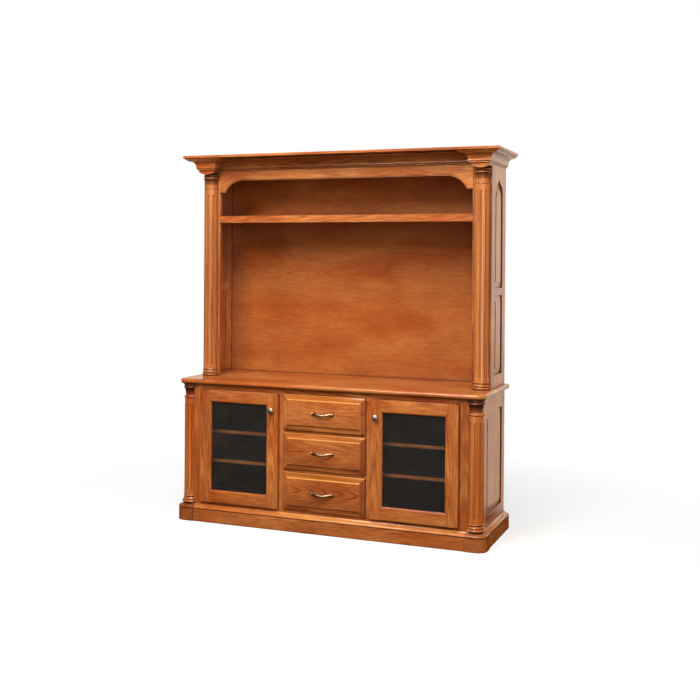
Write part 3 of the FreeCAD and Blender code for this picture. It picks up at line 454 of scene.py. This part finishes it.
    # painted light: colour turned golden on the slopes that face up, and palest on the steep ones,
    # as if lit from above
    if "paintedTopLight" in look:
        facing = addNode(tree, "ShaderNodeNewGeometry").outputs["Normal"]
        facing = addNode(tree, "ShaderNodeSeparateXYZ", {0: facing}).outputs[2]
        upLightShare = addNode(tree, "ShaderNodeMapRange", {
            "Value": facing, "From Min": look["topLitSlopes"][0],
            "From Max": look["topLitSlopes"][1], "To Min": 0.0, "To Max": look["paintedTopLight"]})
        steep = addNode(tree, "ShaderNodeMapRange", {
            "Value": facing, "From Min": look["steepLitSlopes"][0],
            "From Max": look["steepLitSlopes"][1]})
        gold = addNode(tree, "ShaderNodeMix", {
            0: steep, 6: linear(look["topLitGold"]), 7: linear(look["steepLitGold"])},
            data_type="RGBA").outputs[2]
        colour = addNode(tree, "ShaderNodeMix", {0: upLightShare, 6: colour, 7: gold},
                         data_type="RGBA").outputs[2]

    # the glaze that wiping leaves in grooves, together with painted shade in the hollows and
    # beneath
    colour = hollowsAndPaintedShade(tree, look, colour)
    rough = addNode(tree, "ShaderNodeMapRange", {
        "Value": fibre, "To Min": look["rough"] + look["roughSwing"][0],
        "To Max": look["rough"] + look["roughSwing"][1]})
    height = addNode(tree, "ShaderNodeMath", {0: fibre, 1: pore}, operation="SUBTRACT")
    bump = addNode(tree, "ShaderNodeBump", {"Strength": look["reliefShare"],
                                            "Distance": look["relief"], "Height": height})
    surface = addNode(tree, "ShaderNodeBsdfPrincipled", {
        "Base Color": colour, "Roughness": rough, "Normal": bump, "IOR": look["ior"],
        "Specular IOR Level": look["woodMirror"], "Coat Weight": look["lacquer"],
        "Coat Roughness": look["lacquerRough"]})
    addNode(tree, "ShaderNodeOutputMaterial", {"Surface": surface})
    return material


cherryLook = {
    # each pattern's width across the grain in metres, how fast it changes along the grain for
    # one across, its detail and its roughness; fibres and pores are finer in real cherry, and
    # are drawn as coarse as they need to show
    "patterns": {
        "wander": (0.2, 0.3, 2.0, 0.5),
        "fade": (0.0714, 0.25, 1.0, 0.5),
        "fibre": (0.0017, 0.014, 4.0, 0.7),
        "fleck": (0.0105, 0.16, 2.0, 0.6),
        "patch": (0.11, 0.4, 3.0, 0.6),
        "blush": (0.16, 0.3, 3.0, 0.5),
        "pore": (0.0010, 0.05, 1.0, 0.5),
    },
    "ringWidth": 0.0042,
    "lateWood": 1.4,
    "lean": 0.022,
    "wander": 0.012,
    "fadeRange": (0.3, 0.7),
    "leastRing": 0.15,
    "meanRing": 0.4,
    "ringShade": 0.15,
    "fibreShade": 0.42,
    "fleckShade": 0.34,
    "patchShade": 0.45,
    "boardShade": 0.14,
    "colours": [(0.20, "#6C3216"), (0.42, "#9B562A"), (0.60, "#BD753B"), (0.85, "#DCA05F")],
    "blush": "#E6BFA4",
    "blushRange": (0.42, 0.66),
    "poreRange": (0.60, 0.72),
    "poreShade": 0.35,
    "poreColour": "#5E2C10",
    "darkBand": "#5A1E10",
    "hollow": "#2A1207",
    "hollowReach": 0.010,
    "hollowSamples": 6,
    "hollowShade": 0.95,
    "hollowOpen": (0.35, 0.9),
    # how far down a surface faces where the painted shade beneath is full, where it ends, and its
    # share
    "paintedUnderShade": (-0.8, -0.03, 0.75),
    "rough": 0.34,
    "roughSwing": (-0.05, 0.07),
    "relief": 0.00025,
    "reliefShare": 0.35,
    "ior": 1.5,
    "woodMirror": 0.12,  # the lacquer does most of the mirroring
    "lacquer": 0.5,
    "lacquerRough": 0.16,
}
stainedCherry = lacqueredWood("stainedCherryLacquered", cherryLook)
# turned and rubbed, so brighter, with glaze and painted shade deep in the flutes, painted shade
# under every ring and flare, and dark bells on the capitals
turnedCherry = lacqueredWood("turnedCherryLacquered", dict(
    cherryLook, hollowOpen=(0.5, 0.96), paintedUnderShade=(-0.25, 0.0, 0.8), lacquer=0.65,
    lacquerRough=0.12, darker=(2, 1.915, 1.972, 0.38, 0.006)))
baseTurnedCherry = lacqueredWood("baseTurnedCherryLacquered", dict(
    cherryLook, hollowOpen=(0.4, 0.93), paintedUnderShade=(-0.2, 0.0, 0.85), lacquer=0.7,
    lacquerRough=0.12, darker=(2, 0.706, 0.774, 0.75, 0.006)))
# darker bands on the left corner block and the right outer stile, and painted shade towards the
# valance's left end
cornerCherry = lacqueredWood("cornerBlockCherryLacquered", dict(
    cherryLook, darker=(0, -1.0, -0.6, 0.5, 0.006)))
frameCherry = lacqueredWood("faceFrameCherryLacquered", dict(
    cherryLook, darker=(0, 0.6, 1.0, 0.26, 0.02)))
# painted shade: darker towards the valance's left end, where less light falls
valanceCherry = lacqueredWood("valanceCherryLacquered", dict(
    cherryLook, darker=(0, -1.2, -0.3, 0.42, 0.5)))
# drawer fronts: painted light turns the slopes that face up golden, and painted shade darkens the
# right bevel
drawerLook = dict(
    cherryLook, paintedTopLight=0.45, topLitSlopes=(0.06, 0.24), steepLitSlopes=(0.3, 0.5),
    topLitGold="#A8621C", steepLitGold="#E09A48", darker=(0, 0.2155, 0.30, 0.5, 0.004))
drawerCherry = lacqueredWood("drawerFrontCherryLacquered", drawerLook)
# cut close to the heart of the log, so its rings make tall dark arches
figuredCherry = lacqueredWood("figuredCherryLacquered", dict(
    drawerLook, lean=0.05, lateWood=4.0, ringShade=0.30, fleckShade=0.28, wander=0.009,
    paintedTopLight=0.6))
# planed lengths, with less painted shade under the coves and in the hollows
crownCherry = lacqueredWood("crownCherryLacquered", dict(
    cherryLook, paintedUnderShade=(-0.9, -0.1, 0.12), hollowShade=0.8, boardShade=0.10))
# plywood faced with sliced cherry: wider, calmer figure and less lacquer
insideCherry = lacqueredWood("cherryPlywoodLacquered", dict(
    cherryLook, wander=0.05, lacquer=0.35, patchShade=0.28, fleckShade=0.24, blush="#F0D6C2",
    colours=[(0.20, "#612B13"), (0.42, "#894722"), (0.60, "#A55F2C"), (0.85, "#C27F47")]))
# plywood stained nearly black, partly painted shade for the unlit inside, so that it falls back
# behind the glass
darkPlywood = lacqueredWood("darkStainedPlywood", dict(
    cherryLook, wander=0.05, lacquer=0.1, rough=0.5, poreShade=0.15,
    colours=[(0.20, "#180F0A"), (0.42, "#23160F"), (0.60, "#2C1C13"), (0.85, "#38261A")]))
# pale maple boards under a thin clear coat
drawerMaple = lacqueredWood("drawerMapleLacquered", dict(
    cherryLook, ringShade=0.14, fibreShade=0.3, patchShade=0.35, poreShade=0.10,
    blush="#F4E6D6", poreColour="#B08A5C", hollow="#8A6236", hollowShade=0.35, lacquer=0.2,
    colours=[(0.20, "#BE925E"), (0.42, "#D2AE7A"), (0.60, "#DEBF90"), (0.85, "#E8CFA6")]))


smokedLook = {
    "tint": "#C5C9CB",
    "rough": 0.02,
    "ior": 1.5,
    "dust": "#C9C4BC",
    "dustWidth": 0.0455,
    "dustShare": (0.006, 0.022),
}


def smokedGlass(name, look):
    # grey float glass with a breath of dust: mirrors the room at a slant and dims what is inside
    material, tree = newMaterial(name)
    tint = linear(look["tint"])
    place = addNode(tree, "ShaderNodeTexCoord").outputs["Object"]
    dust = addNode(tree, "ShaderNodeTexNoise", {
        "Vector": place, "Scale": 1 / look["dustWidth"], "Detail": 5.0}).outputs[0]
    dust = addNode(tree, "ShaderNodeMapRange", {
        "Value": dust, "To Min": look["dustShare"][0], "To Max": look["dustShare"][1]})
    pane = addNode(tree, "ShaderNodeBsdfPrincipled", {
        "Base Color": tint, "Roughness": look["rough"], "IOR": look["ior"],
        "Transmission Weight": 1.0})
    film = addNode(tree, "ShaderNodeBsdfDiffuse", {"Color": linear(look["dust"])})
    pane = addNode(tree, "ShaderNodeMixShader", {0: dust, 1: pane, 2: film})
    through = addNode(tree, "ShaderNodeBsdfTransparent", {"Color": tint})
    lamp = addNode(tree, "ShaderNodeLightPath").outputs["Is Shadow Ray"]
    both = addNode(tree, "ShaderNodeMixShader", {0: lamp, 1: pane, 2: through})
    addNode(tree, "ShaderNodeOutputMaterial", {"Surface": both})
    return material


glass = smokedGlass("smokedFloatGlass", smokedLook)


def platedMetal(name, look):
    # plated or rolled metal: fine brush or wear marks spread its highlight; darker in the hollows,
    # as patina on the aged pieces and as painted shade on the plated ones, and painted shade
    # beneath
    material, tree = newMaterial(name)
    place = addNode(tree, "ShaderNodeTexCoord").outputs["Object"]
    brush = addNode(tree, "ShaderNodeVectorMath", {0: place, 1: look["brushWay"]},
                    operation="MULTIPLY")
    marks = addNode(tree, "ShaderNodeTexNoise", {"Vector": brush, "Scale": 1 / look["markWidth"],
                                                 "Detail": 3.0}).outputs[0]
    cloud = addNode(tree, "ShaderNodeTexNoise", {"Vector": place,
                                                 "Scale": 1 / look["cloudWidth"]}).outputs[0]
    shade = layered(tree, [(marks, look["markShade"]), (cloud, look["cloudShade"])])
    colour = addNode(tree, "ShaderNodeMix", {
        0: shade, 6: linear(look["dark"]), 7: linear(look["light"])},
        data_type="RGBA").outputs[2]
    colour = hollowsAndPaintedShade(tree, look, colour)
    rough = addNode(tree, "ShaderNodeMapRange", {
        "Value": marks, "To Min": look["rough"] + look["roughSwing"][0],
        "To Max": look["rough"] + look["roughSwing"][1]})
    bump = addNode(tree, "ShaderNodeBump", {"Strength": look["reliefShare"],
                                            "Distance": look["relief"], "Height": marks})
    surface = addNode(tree, "ShaderNodeBsdfPrincipled",
                      {"Base Color": colour, "Metallic": 1.0, "Roughness": rough, "Normal": bump})
    addNode(tree, "ShaderNodeOutputMaterial", {"Surface": surface})
    return material


# brush marks are finer on real metal, and are drawn as coarse as they need to show
metalLook = {
    "markShade": 0.4,
    "cloudWidth": 0.0167,
    "cloudShade": 0.7,
    "hollowReach": 0.004,
    "hollowSamples": 6,
    "hollowOpen": (0.3, 0.9),
    "roughSwing": (-0.08, 0.10),
    "relief": 0.0001,
    "reliefShare": 0.2,
}
# knobs and shelf pins: brushed before the last plating, so the shine is broad and soft
satinNickel = platedMetal("satinNickelPlate", dict(
    metalLook, brushWay=(1.0, 1.0, 0.2), markWidth=0.0006, dark="#8C8070", light="#C4B8A4",
    hollow="#2E261D", hollowShade=0.85, paintedUnderShade=(-0.8, 0.1, 0.5), rough=0.46))
# pulls: cast, darkened and brushed back, with painted shade making them dark beneath
agedBrass = platedMetal("agedBrassBrushed", dict(
    metalLook, brushWay=(0.15, 1.0, 1.0), markWidth=0.0005, dark="#9C7B58", light="#D8B792",
    hollow="#3A2412", hollowShade=0.9, paintedUnderShade=(-0.8, 0.1, 0.95), rough=0.38))
# door pivots: rubbed with oil, close to the wood in colour
darkBronze = platedMetal("oilRubbedBronze", dict(
    metalLook, brushWay=(1.0, 0.3, 1.0), markWidth=0.0008, dark="#4A2E1C", light="#6E482C",
    hollow="#2A180E", hollowShade=0.6, paintedUnderShade=(-0.8, 0.1, 0.3), rough=0.5))
# slides, runners and strikes: rolled strip, zinc plated, with marks along its length
zincSteel = platedMetal("zincPlatedSteel", dict(
    metalLook, brushWay=(1.0, 0.1, 1.0), markWidth=0.0012, dark="#9A9EA3", light="#C6CACD",
    hollow="#55585C", hollowShade=0.5, paintedUnderShade=(-0.8, 0.1, 0.2), rough=0.34))

catchLook = {
    "dark": "#2C1A10",
    "light": "#3E2617",
    "grainWidth": 0.00056,
    "relief": 0.0001,
    "reliefShare": 0.2,
    "rough": 0.48,
}


def mouldedPlastic(name, look):
    # moulded catch body: a fine even grain, coarser here than the real one, takes the shine off
    material, tree = newMaterial(name)
    place = addNode(tree, "ShaderNodeTexCoord").outputs["Object"]
    grain = addNode(tree, "ShaderNodeTexNoise", {
        "Vector": place, "Scale": 1 / look["grainWidth"]}).outputs[0]
    colour = addNode(tree, "ShaderNodeMix", {
        0: grain, 6: linear(look["dark"]), 7: linear(look["light"])},
        data_type="RGBA").outputs[2]
    bump = addNode(tree, "ShaderNodeBump", {"Strength": look["reliefShare"],
                                            "Distance": look["relief"], "Height": grain})
    surface = addNode(tree, "ShaderNodeBsdfPrincipled",
                      {"Base Color": colour, "Roughness": look["rough"], "Normal": bump})
    addNode(tree, "ShaderNodeOutputMaterial", {"Surface": surface})
    return material


catchBrown = mouldedPlastic("mouldedBrownPlastic", catchLook)
print("materials")


# Boards in mesh code: each keeps its own place in its log, so its grain runs along it

backY = cadBox[1][1]
boardLuck = random.Random(log["seed"])
edges = {
    "easeSegments": 2,
    "easeFrom": math.radians(40),
    "sharpFrom": math.radians(28),
}


def at(x, depth, z):
    # millimetres from the middle, forward of the back and up from the floor, to the frame
    return Vector((x / 1000, backY - depth / 1000, z / 1000))


def newBoards():
    return {"points": [], "faces": [], "places": [], "tones": []}


def addBoard(boards, shell, along, through, chosen=None, paler=0.0):
    # one board from a closed shell; along and through are the axes of its length and its
    # thickness; its place in the log and its tone come by chance where none are chosen
    points, faces = shell
    centre = sum(points, Vector()) / len(points)
    across = 3 - along - through
    limits = zip(log["near"], log["far"])
    chance = [boardLuck.uniform(near, far) for near, far in limits], boardLuck.random()
    shift, tone = chosen or chance
    start = len(boards["points"])
    boards["faces"] += [[start + corner for corner in face] for face in faces]
    boards["points"] += points
    for point in points:
        away = point - centre
        spot = Vector((away[across], away[through], away[along]))
        boards["places"].append(spot + Vector(shift))
    boards["tones"] += [tone + paler] * len(points)


def ringFaces(rings, count):
    # the faces of a closed shell made of rings with so many corners each
    faces = [list(range(count)), list(range((rings - 1) * count, rings * count))]
    for start in range(0, (rings - 1) * count, count):
        for corner in range(count):
            after = (corner + 1) % count
            faces.append([start + corner, start + after, start + count + after,
                          start + count + corner])
    return faces


def arcPoints(start, end, swell, count):
    # the points after start on an arc to end, bulged to the right of the way it runs
    run = Vector(end) - Vector(start)
    half = run.length / 2
    radius = (half * half + swell * swell) / (2 * abs(swell))
    side = math.copysign(1, swell)
    right = Vector((run.y, -run.x)).normalized() * side
    centre = (Vector(start) + Vector(end)) / 2 - right * (radius - abs(swell))
    begin = Vector(start) - centre
    sweep = 2 * math.asin(half / radius) * side
    points = []
    for step in range(1, count + 1):
        turn = Matrix.Rotation(sweep * step / count, 2)
        points.append(tuple(centre + turn @ begin))
    return points


def easeEdges(piece, width):
    # sanded arrises, so that every board's edges catch the light
    ease = piece.modifiers.new("easedEdges", "BEVEL")
    ease.width = width
    ease.segments = edges["easeSegments"]
    ease.limit_method = "ANGLE"
    ease.angle_limit = edges["easeFrom"]
    ease.harden_normals = True


def finishPiece(name, body, mesh, material, nodes):
    mesh.materials.append(material)
    made = bmesh.new()
    made.from_mesh(mesh)
    bmesh.ops.recalc_face_normals(made, faces=made.faces)
    made.to_mesh(mesh)
    made.free()
    mesh.shade_smooth()
    mesh.set_sharp_from_angle(angle=edges["sharpFrom"])
    piece = bpy.data.objects.new(name, mesh)
    bpy.context.scene.collection.objects.link(piece)
    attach(piece, body)
    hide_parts(*nodes)
    return piece


def finishBoards(name, body, boards, material, nodes, ease):
    mesh = bpy.data.meshes.new(name)
    mesh.from_pydata(boards["points"], [], boards["faces"])
    place = mesh.attributes.new("boardPlace", "FLOAT_VECTOR", "POINT")
    place.data.foreach_set("vector", [value for spot in boards["places"] for value in spot])
    tone = mesh.attributes.new("boardTone", "FLOAT", "POINT")
    tone.data.foreach_set("value", boards["tones"])
    piece = finishPiece(name, body, mesh, material, nodes)
    easeEdges(piece, ease / 1000)


# Crown: seven mitred lengths of one moulding, its section listed from the foot up

crown = {
    # place in the log in metres and tone: the ends are drawn paler, painted light where they stand
    # forward of the shaded middle
    "middleBoard": ((0.02, 0.07, 0.6), -0.1),
    "endBoards": {1: ((-0.02, 0.06, 1.9), 1.6), -1: ((0.03, 0.08, -1.1), 1.6)},
    "bottom": 2000,
    "sideX": 864,
    "breakX": 764,
    "wallDepth": 320,
    "breakDepth": 385,
    "ease": 0.4,
    "arcSteps": 8,
    # out, up, and the swell of the arc that leads there
    "section": [(6, 0, 0), (6, 7, 2.5), (8, 7, 0), (13, 16, 2.5), (13, 18, 0), (32, 49, -6),
                (45, 49, 0), (45, 52, 0), (61, 62, 2), (61, 64, 0), (0, 64, 0)],
}


def crownSection(setup):
    points = [(0, 0)]
    for out, up, swell in setup["section"]:
        if swell == 0:
            points.append((out, up))
        else:
            points += arcPoints(points[-1], (out, up), swell, setup["arcSteps"])
    return points


def crownRun(setup, start, end, out, startMitre, endMitre):
    # a mitre of 1 grows the length outward, as at an outside corner, and -1 shrinks it
    run = Vector(end) - Vector(start)
    along = run.normalized()
    points = []
    section = crownSection(setup)
    for spot, mitre in ((0, -startMitre), (run.length, endMitre)):
        for outward, up in section:
            place = Vector(start) + along * (spot + mitre * outward) + Vector(out) * outward
            points.append(at(place.x, place.y, setup["bottom"] + up))
    return points, ringFaces(2, len(section))


def makeCrown(setup):
    boards = newBoards()
    side, inner = setup["sideX"], setup["breakX"]
    wall, front = setup["wallDepth"], setup["breakDepth"]
    addBoard(boards, crownRun(setup, (inner, wall), (-inner, wall), (0, 1), -1, -1), 0, 1,
             setup["middleBoard"])
    for hand in (1, -1):
        addBoard(boards, crownRun(setup, (hand * side, 0), (hand * side, front),
                                  (hand, 0), 0, 1), 1, 0)
        addBoard(boards, crownRun(setup, (hand * side, front), (hand * inner, front),
                                  (0, 1), 1, 1), 0, 1, setup["endBoards"][hand])
        addBoard(boards, crownRun(setup, (hand * inner, front), (hand * inner, wall),
                                  (-hand, 0), 1, -1), 1, 0)
    finishBoards("crown_moulding_runs", "cabinet", boards, crownCherry,
                 ["crown_mouldings"], setup["ease"])


makeCrown(crown)
print("crown")


# Door frames: stiles and rails with an ovolo worked on their inner edges and mitred at the corners

doorFrame = {
    "glassX": (339, 682),
    "glassZ": (184, 677),
    "backDepth": 532,
    "thickness": 20,
    "width": 70,
    "strip": 12,
    "rabbet": (9, 11),
    "bushProud": 0.15,
    # the ovolo's foot (across, forward), its head, and its swell
    "ovolo": ((1.0, 12.4), (8.4, 18.8), 1.9),
    "ovoloSteps": 6,
    "round": 2.2,
    "roundSteps": 4,
    "ease": 0.5,
    # added to the tone: inner stile and bottom rail, then outer stile and top rail
    "paler": {"left": {-1: (0.0, 0.0), 1: (-0.65, 0.0)},
              "right": {-1: (0.0, 0.5), 1: (0.0, 0.2)}},
}


def frameBoard(setup, half, full, place):
    # place maps along, across from the glass edge, and forward of the back to the frame
    strip, thick, width = setup["strip"], setup["thickness"], setup["width"]
    foot, head, swell = setup["ovolo"]
    wall, ledge = setup["rabbet"]
    worked = [(wall, 0), (wall, ledge), (0, ledge), (0, foot[1]), foot]
    worked += arcPoints(foot, head, -swell, setup["ovoloSteps"])
    worked += [(head[0], thick), (strip, thick)]
    turn = setup["round"]
    before, after = (width - turn, thick), (width, thick - turn)
    quarter = turn * (1 - math.sqrt(0.5))  # the swell of a quarter round
    outer = [before] + arcPoints(before, after, -quarter, setup["roundSteps"]) + [(width, 0)]
    points, faces = [], []

    def line(reach, across, forward):
        points.extend([place(-reach, across, forward), place(reach, across, forward)])
        return len(points) - 2, len(points) - 1

    rows = [line(half + a, a, w) for a, w in worked] + [line(half + strip, strip, 0)]
    square = full > half + strip
    face = line(full, strip, thick) if square else rows[-2]
    back = line(full, strip, 0) if square else rows[-1]
    body = [face] + [line(full, a, w) for a, w in outer] + [back]
    for one, two in list(zip(rows[:-2], rows[1:-1])) + list(zip(body[1:-2], body[2:-1])):
        faces.append([one[0], one[1], two[1], two[0]])
    faces.append([rows[-1][0], rows[-1][1], rows[0][1], rows[0][0]])
    for near, far, beyond in ((rows[-2], face, body[1]), (rows[-1], back, body[-2])):
        step = [near[0], near[1], far[1]] if square else [near[0], near[1]]
        faces.append(step + [beyond[1], beyond[0]] + ([far[0]] if square else []))
    for end in (0, 1):
        faces.append([row[end] for row in rows])
        faces.append([row[end] for row in body])
        if square:
            faces.append([back[end], face[end], rows[-2][end], rows[-1][end]])
    return points, faces


def makeDoorFrame(setup, side, hand):
    boards = newBoards()
    x, z = setup["glassX"], setup["glassZ"]
    halfX, halfZ = (x[1] - x[0]) / 2, (z[1] - z[0]) / 2
    midX, midZ = (x[0] + x[1]) / 2, (z[0] + z[1]) / 2
    back = setup["backDepth"]
    full = halfZ + setup["width"] - setup["bushProud"]
    for way in (-1, 1):
        stile, rail = setup["paler"][side][way]
        addBoard(boards, frameBoard(setup, halfZ, full, lambda s, a, w: at(
            hand * (midX + way * (halfX + a)), back + w, midZ + s)), 2, 1, paler=stile)
        addBoard(boards, frameBoard(setup, halfX, halfX + setup["strip"], lambda s, a, w: at(
            hand * (midX + s), back + w, midZ + way * (halfZ + a))), 0, 1, paler=rail)
    finishBoards(side + "_door_stiles_and_rails", side + "_door", boards, stainedCherry,
                 [side + "_door_frame"], setup["ease"])


makeDoorFrame(doorFrame, "left", -1)
makeDoorFrame(doorFrame, "right", 1)
print("door frames")


# Drawer fronts: a raised field in one board, with a wide bevel and a steep step up to the field

drawerFront = {
    # inset from the edge, and forward of the back
    "steps": [(0, 0), (0, 6.5), (0.5, 7.5), (1.6, 8.3), (24.5, 14.5), (25.4, 15.2), (29.5, 18.8),
              (30.6, 19.6), (32, 20)],
    "ease": 0.4,
    # finish, place in the log and tone
    "boards": {"top": (drawerCherry, ((0.02, 0.06, 1.3), 0.75)),
               "middle": (drawerCherry, ((-0.03, 0.09, 2.2), 0.2)),
               "bottom": (figuredCherry, ((-0.012, 0.07, 0.4), -0.15))},
}


def makeDrawerFront(setup, level):
    node = level + "_drawer_front"
    low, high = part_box(node)
    x = (low[0] * 1000, high[0] * 1000)
    z = (low[2] * 1000, high[2] * 1000)
    back = (backY - high[1]) * 1000
    points = []
    for inset, forward in setup["steps"]:
        for right, top in ((0, 0), (1, 0), (1, 1), (0, 1)):
            points.append(at(x[right] + inset * (1 - 2 * right), back + forward,
                             z[top] + inset * (1 - 2 * top)))
    finish, chosen = setup["boards"][level]
    boards = newBoards()
    addBoard(boards, (points, ringFaces(len(setup["steps"]), 4)), 0, 1, chosen)
    finishBoards(level + "_drawer_raised_front", level + "_drawer", boards, finish,
                 [node], setup["ease"])


for level in drawerFront["boards"]:
    makeDrawerFront(drawerFront, level)
print("drawer fronts")


# Shelves: dark plywood with a stained band glued on the front edge

shelf = {
    "x": (247.5, 843.5),
    "depth": (8, 460),
    "tops": (510, 343),
    "thickness": 18,
    "band": 6,
    "sheetEase": 0.2,
    "bandEase": 0.8,
}


def boxShell(x, depth, z):
    corners = [(x[0], z[0]), (x[1], z[0]), (x[1], z[1]), (x[0], z[1])]
    points = [at(across, forward, up) for forward in depth for across, up in corners]
    return points, ringFaces(2, 4)


def makeShelves(setup):
    sheets, bands = newBoards(), newBoards()
    near, far = setup["depth"]
    for hand in (-1, 1):
        x = sorted(hand * end for end in setup["x"])
        for top in setup["tops"]:
            z = (top - setup["thickness"], top)
            addBoard(sheets, boxShell(x, (near, far - setup["band"]), z), 0, 2)
            addBoard(bands, boxShell(x, (far - setup["band"], far), z), 0, 1)
    finishBoards("cabinet_shelf_sheets", "cabinet", sheets, darkPlywood,
                 ["cabinet_shelves"], setup["sheetEase"])
    finishBoards("cabinet_shelf_edge_bands", "cabinet", bands, stainedCherry,
                 ["cabinet_shelves"], setup["bandEase"])


makeShelves(shelf)
print("shelves")


# Pulls: a cast bow that dips at the middle, with beads beside the dip and flared ends on posts

pull = {
    "depth": 552,
    "heights": {"top": 649.5, "middle": 436.5, "bottom": 217.0},
    # across, out, up and radius along the bow, from the middle outward
    "bow": [(0, 22.4, -5.0, 5.6), (6, 22.3, -4.9, 5.4), (9, 22.1, -4.7, 4.7),
            (10.5, 22.0, -4.6, 6.0), (12, 21.9, -4.4, 6.5), (13.5, 21.7, -4.2, 6.0),
            (15, 21.5, -4.0, 4.8), (20, 20.8, -2.9, 5.3), (27, 19.0, -1.2, 5.5),
            (35, 16.0, 0.8, 5.2), (43, 12.0, 2.2, 4.7), (50, 8.8, 2.8, 4.4),
            (54, 7.6, 2.6, 4.8), (58, 7.0, 2.1, 5.9), (61, 6.8, 1.9, 6.3),
            (63, 6.8, 1.8, 5.4), (64, 6.8, 1.8, 2.6)],
    "bowSides": 20,
    "tall": 1.3,
    "postPlace": (54.5, 2.3),
    # out from the drawer front, and radius
    "post": [(0, 5.0), (0.8, 5.0), (1.4, 3.6), (7, 3.6)],
    "postSides": 18,
}


def tubeShell(path, sides, tall=1.0):
    # a closed bar through points with a radius each, taller than deep by its factor
    points = []
    for number, (spot, radius) in enumerate(path):
        before = path[max(number - 1, 0)][0]
        after = path[min(number + 1, len(path) - 1)][0]
        way = (after - before).normalized()
        right = way.cross(Vector((0, 0, 1))).normalized()
        up = right.cross(way)
        for step in range(sides):
            turn = math.tau * step / sides
            points.append(spot + (right * math.cos(turn) + up * math.sin(turn) * tall) * radius)
    return points, ringFaces(len(path), sides)


def makePull(setup, level, height):
    depth = setup["depth"]
    half = setup["bow"]
    whole = [(-x, out, up, radius) for x, out, up, radius in reversed(half[1:])] + half
    bow = [(at(x, depth + out, height + up), radius / 1000) for x, out, up, radius in whole]
    shells = [tubeShell(bow, setup["bowSides"], setup["tall"])]
    across, up = setup["postPlace"]
    for hand in (-1, 1):
        post = [(at(hand * across, depth + out, height + up), radius / 1000)
                for out, radius in setup["post"]]
        shells.append(tubeShell(post, setup["postSides"]))
    points, faces = [], []
    for shell, sides in shells:
        faces += [[len(points) + corner for corner in face] for face in sides]
        points += shell
    name = level + "_drawer_bow_pull"
    mesh = bpy.data.meshes.new(name)
    mesh.from_pydata(points, [], faces)
    piece = finishPiece(name, level + "_drawer", mesh, agedBrass,
                        [level + "_drawer_pull"])
    soft = piece.modifiers.new("castSurface", "SUBSURF")
    soft.levels = soft.render_levels = 1


for level, height in pull["heights"].items():
    makePull(pull, level, height)
print("pulls")


# The CAD nodes that stay get their finish, and boards their grain

finishes = {
    "slots": {"stained_cherry": stainedCherry, "cherry_plywood": insideCherry,
              "dark_plywood": darkPlywood, "drawer_maple": drawerMaple, "smoked_glass": glass,
              "aged_brass": agedBrass, "dark_bronze": darkBronze, "satin_nickel": satinNickel,
              "zinc_steel": zincSteel, "catch_brown": catchBrown},
    "own": {"plinth_corner_blocks": cornerCherry, "face_frame_stiles": frameCherry,
            "valance": valanceCherry,
            "left_base_column": baseTurnedCherry, "right_base_column": baseTurnedCherry,
            "left_hutch_column": turnedCherry, "right_hutch_column": turnedCherry},
    "wood": ("stained_cherry", "cherry_plywood", "dark_plywood", "drawer_maple"),
    # boards drawn darker or paler than the rest; the plinth cap mouldings' paler tone is painted
    # light, standing for the light on their upward slope
    "tones": {"plinth_corner_blocks": -0.3, "face_frame_stiles": 0.25, "hutch_shelf_rail": 0.1,
              "hutch_front_stiles": -0.3, "valance": 0.3, "plinth_cap_mouldings": 1.2,
              "left_base_column": 0.3, "right_base_column": 0.3, "right_hutch_column": 0.7},
    "turned": ("left_base_column", "right_base_column", "left_hutch_column",
               "right_hutch_column", "plinth_corner_blocks"),
    # a turned piece's figure runs longer than a board's
    "turnedStretch": 0.25,
    # a rail's grain runs across the side, however tall the rail is
    "lean": {"hutch_side_rails": (1.0, 1.0, 0.4)},
    "ease": 0.7,
}
slotOf = {part["node"]: part["material_slot"] for part in frame["record"]["subparts"]}


def grainBoards(setup, piece, seed, name):
    turned = name in setup["turned"]
    holder = piece.modifiers.new("boardPlace", "NODES")
    holder.node_group = boardPlace
    values = {"Lean": setup["lean"].get(name, (1.0, 1.0, 1.0)),
              "Stretch": setup["turnedStretch"] if turned else 1.0,
              "Tone": setup["tones"].get(name, 0.0), "OwnNormals": turned, "Seed": seed}
    for item in boardPlace.interface.items_tree:
        if item.in_out == "INPUT" and item.name in values:
            holder[item.identifier] = values[item.name]
    if not turned:
        easeEdges(piece, setup["ease"] / 1000)


def finishNodes(setup):
    for number, (name, piece) in enumerate(sorted(cadNodes.items())):
        slot = slotOf[name]
        piece.data.materials.clear()
        piece.data.materials.append(setup["own"].get(name, setup["slots"][slot]))
        if slot in setup["wood"]:
            grainBoards(setup, piece, number, name)


finishNodes(finishes)
print("finishes")
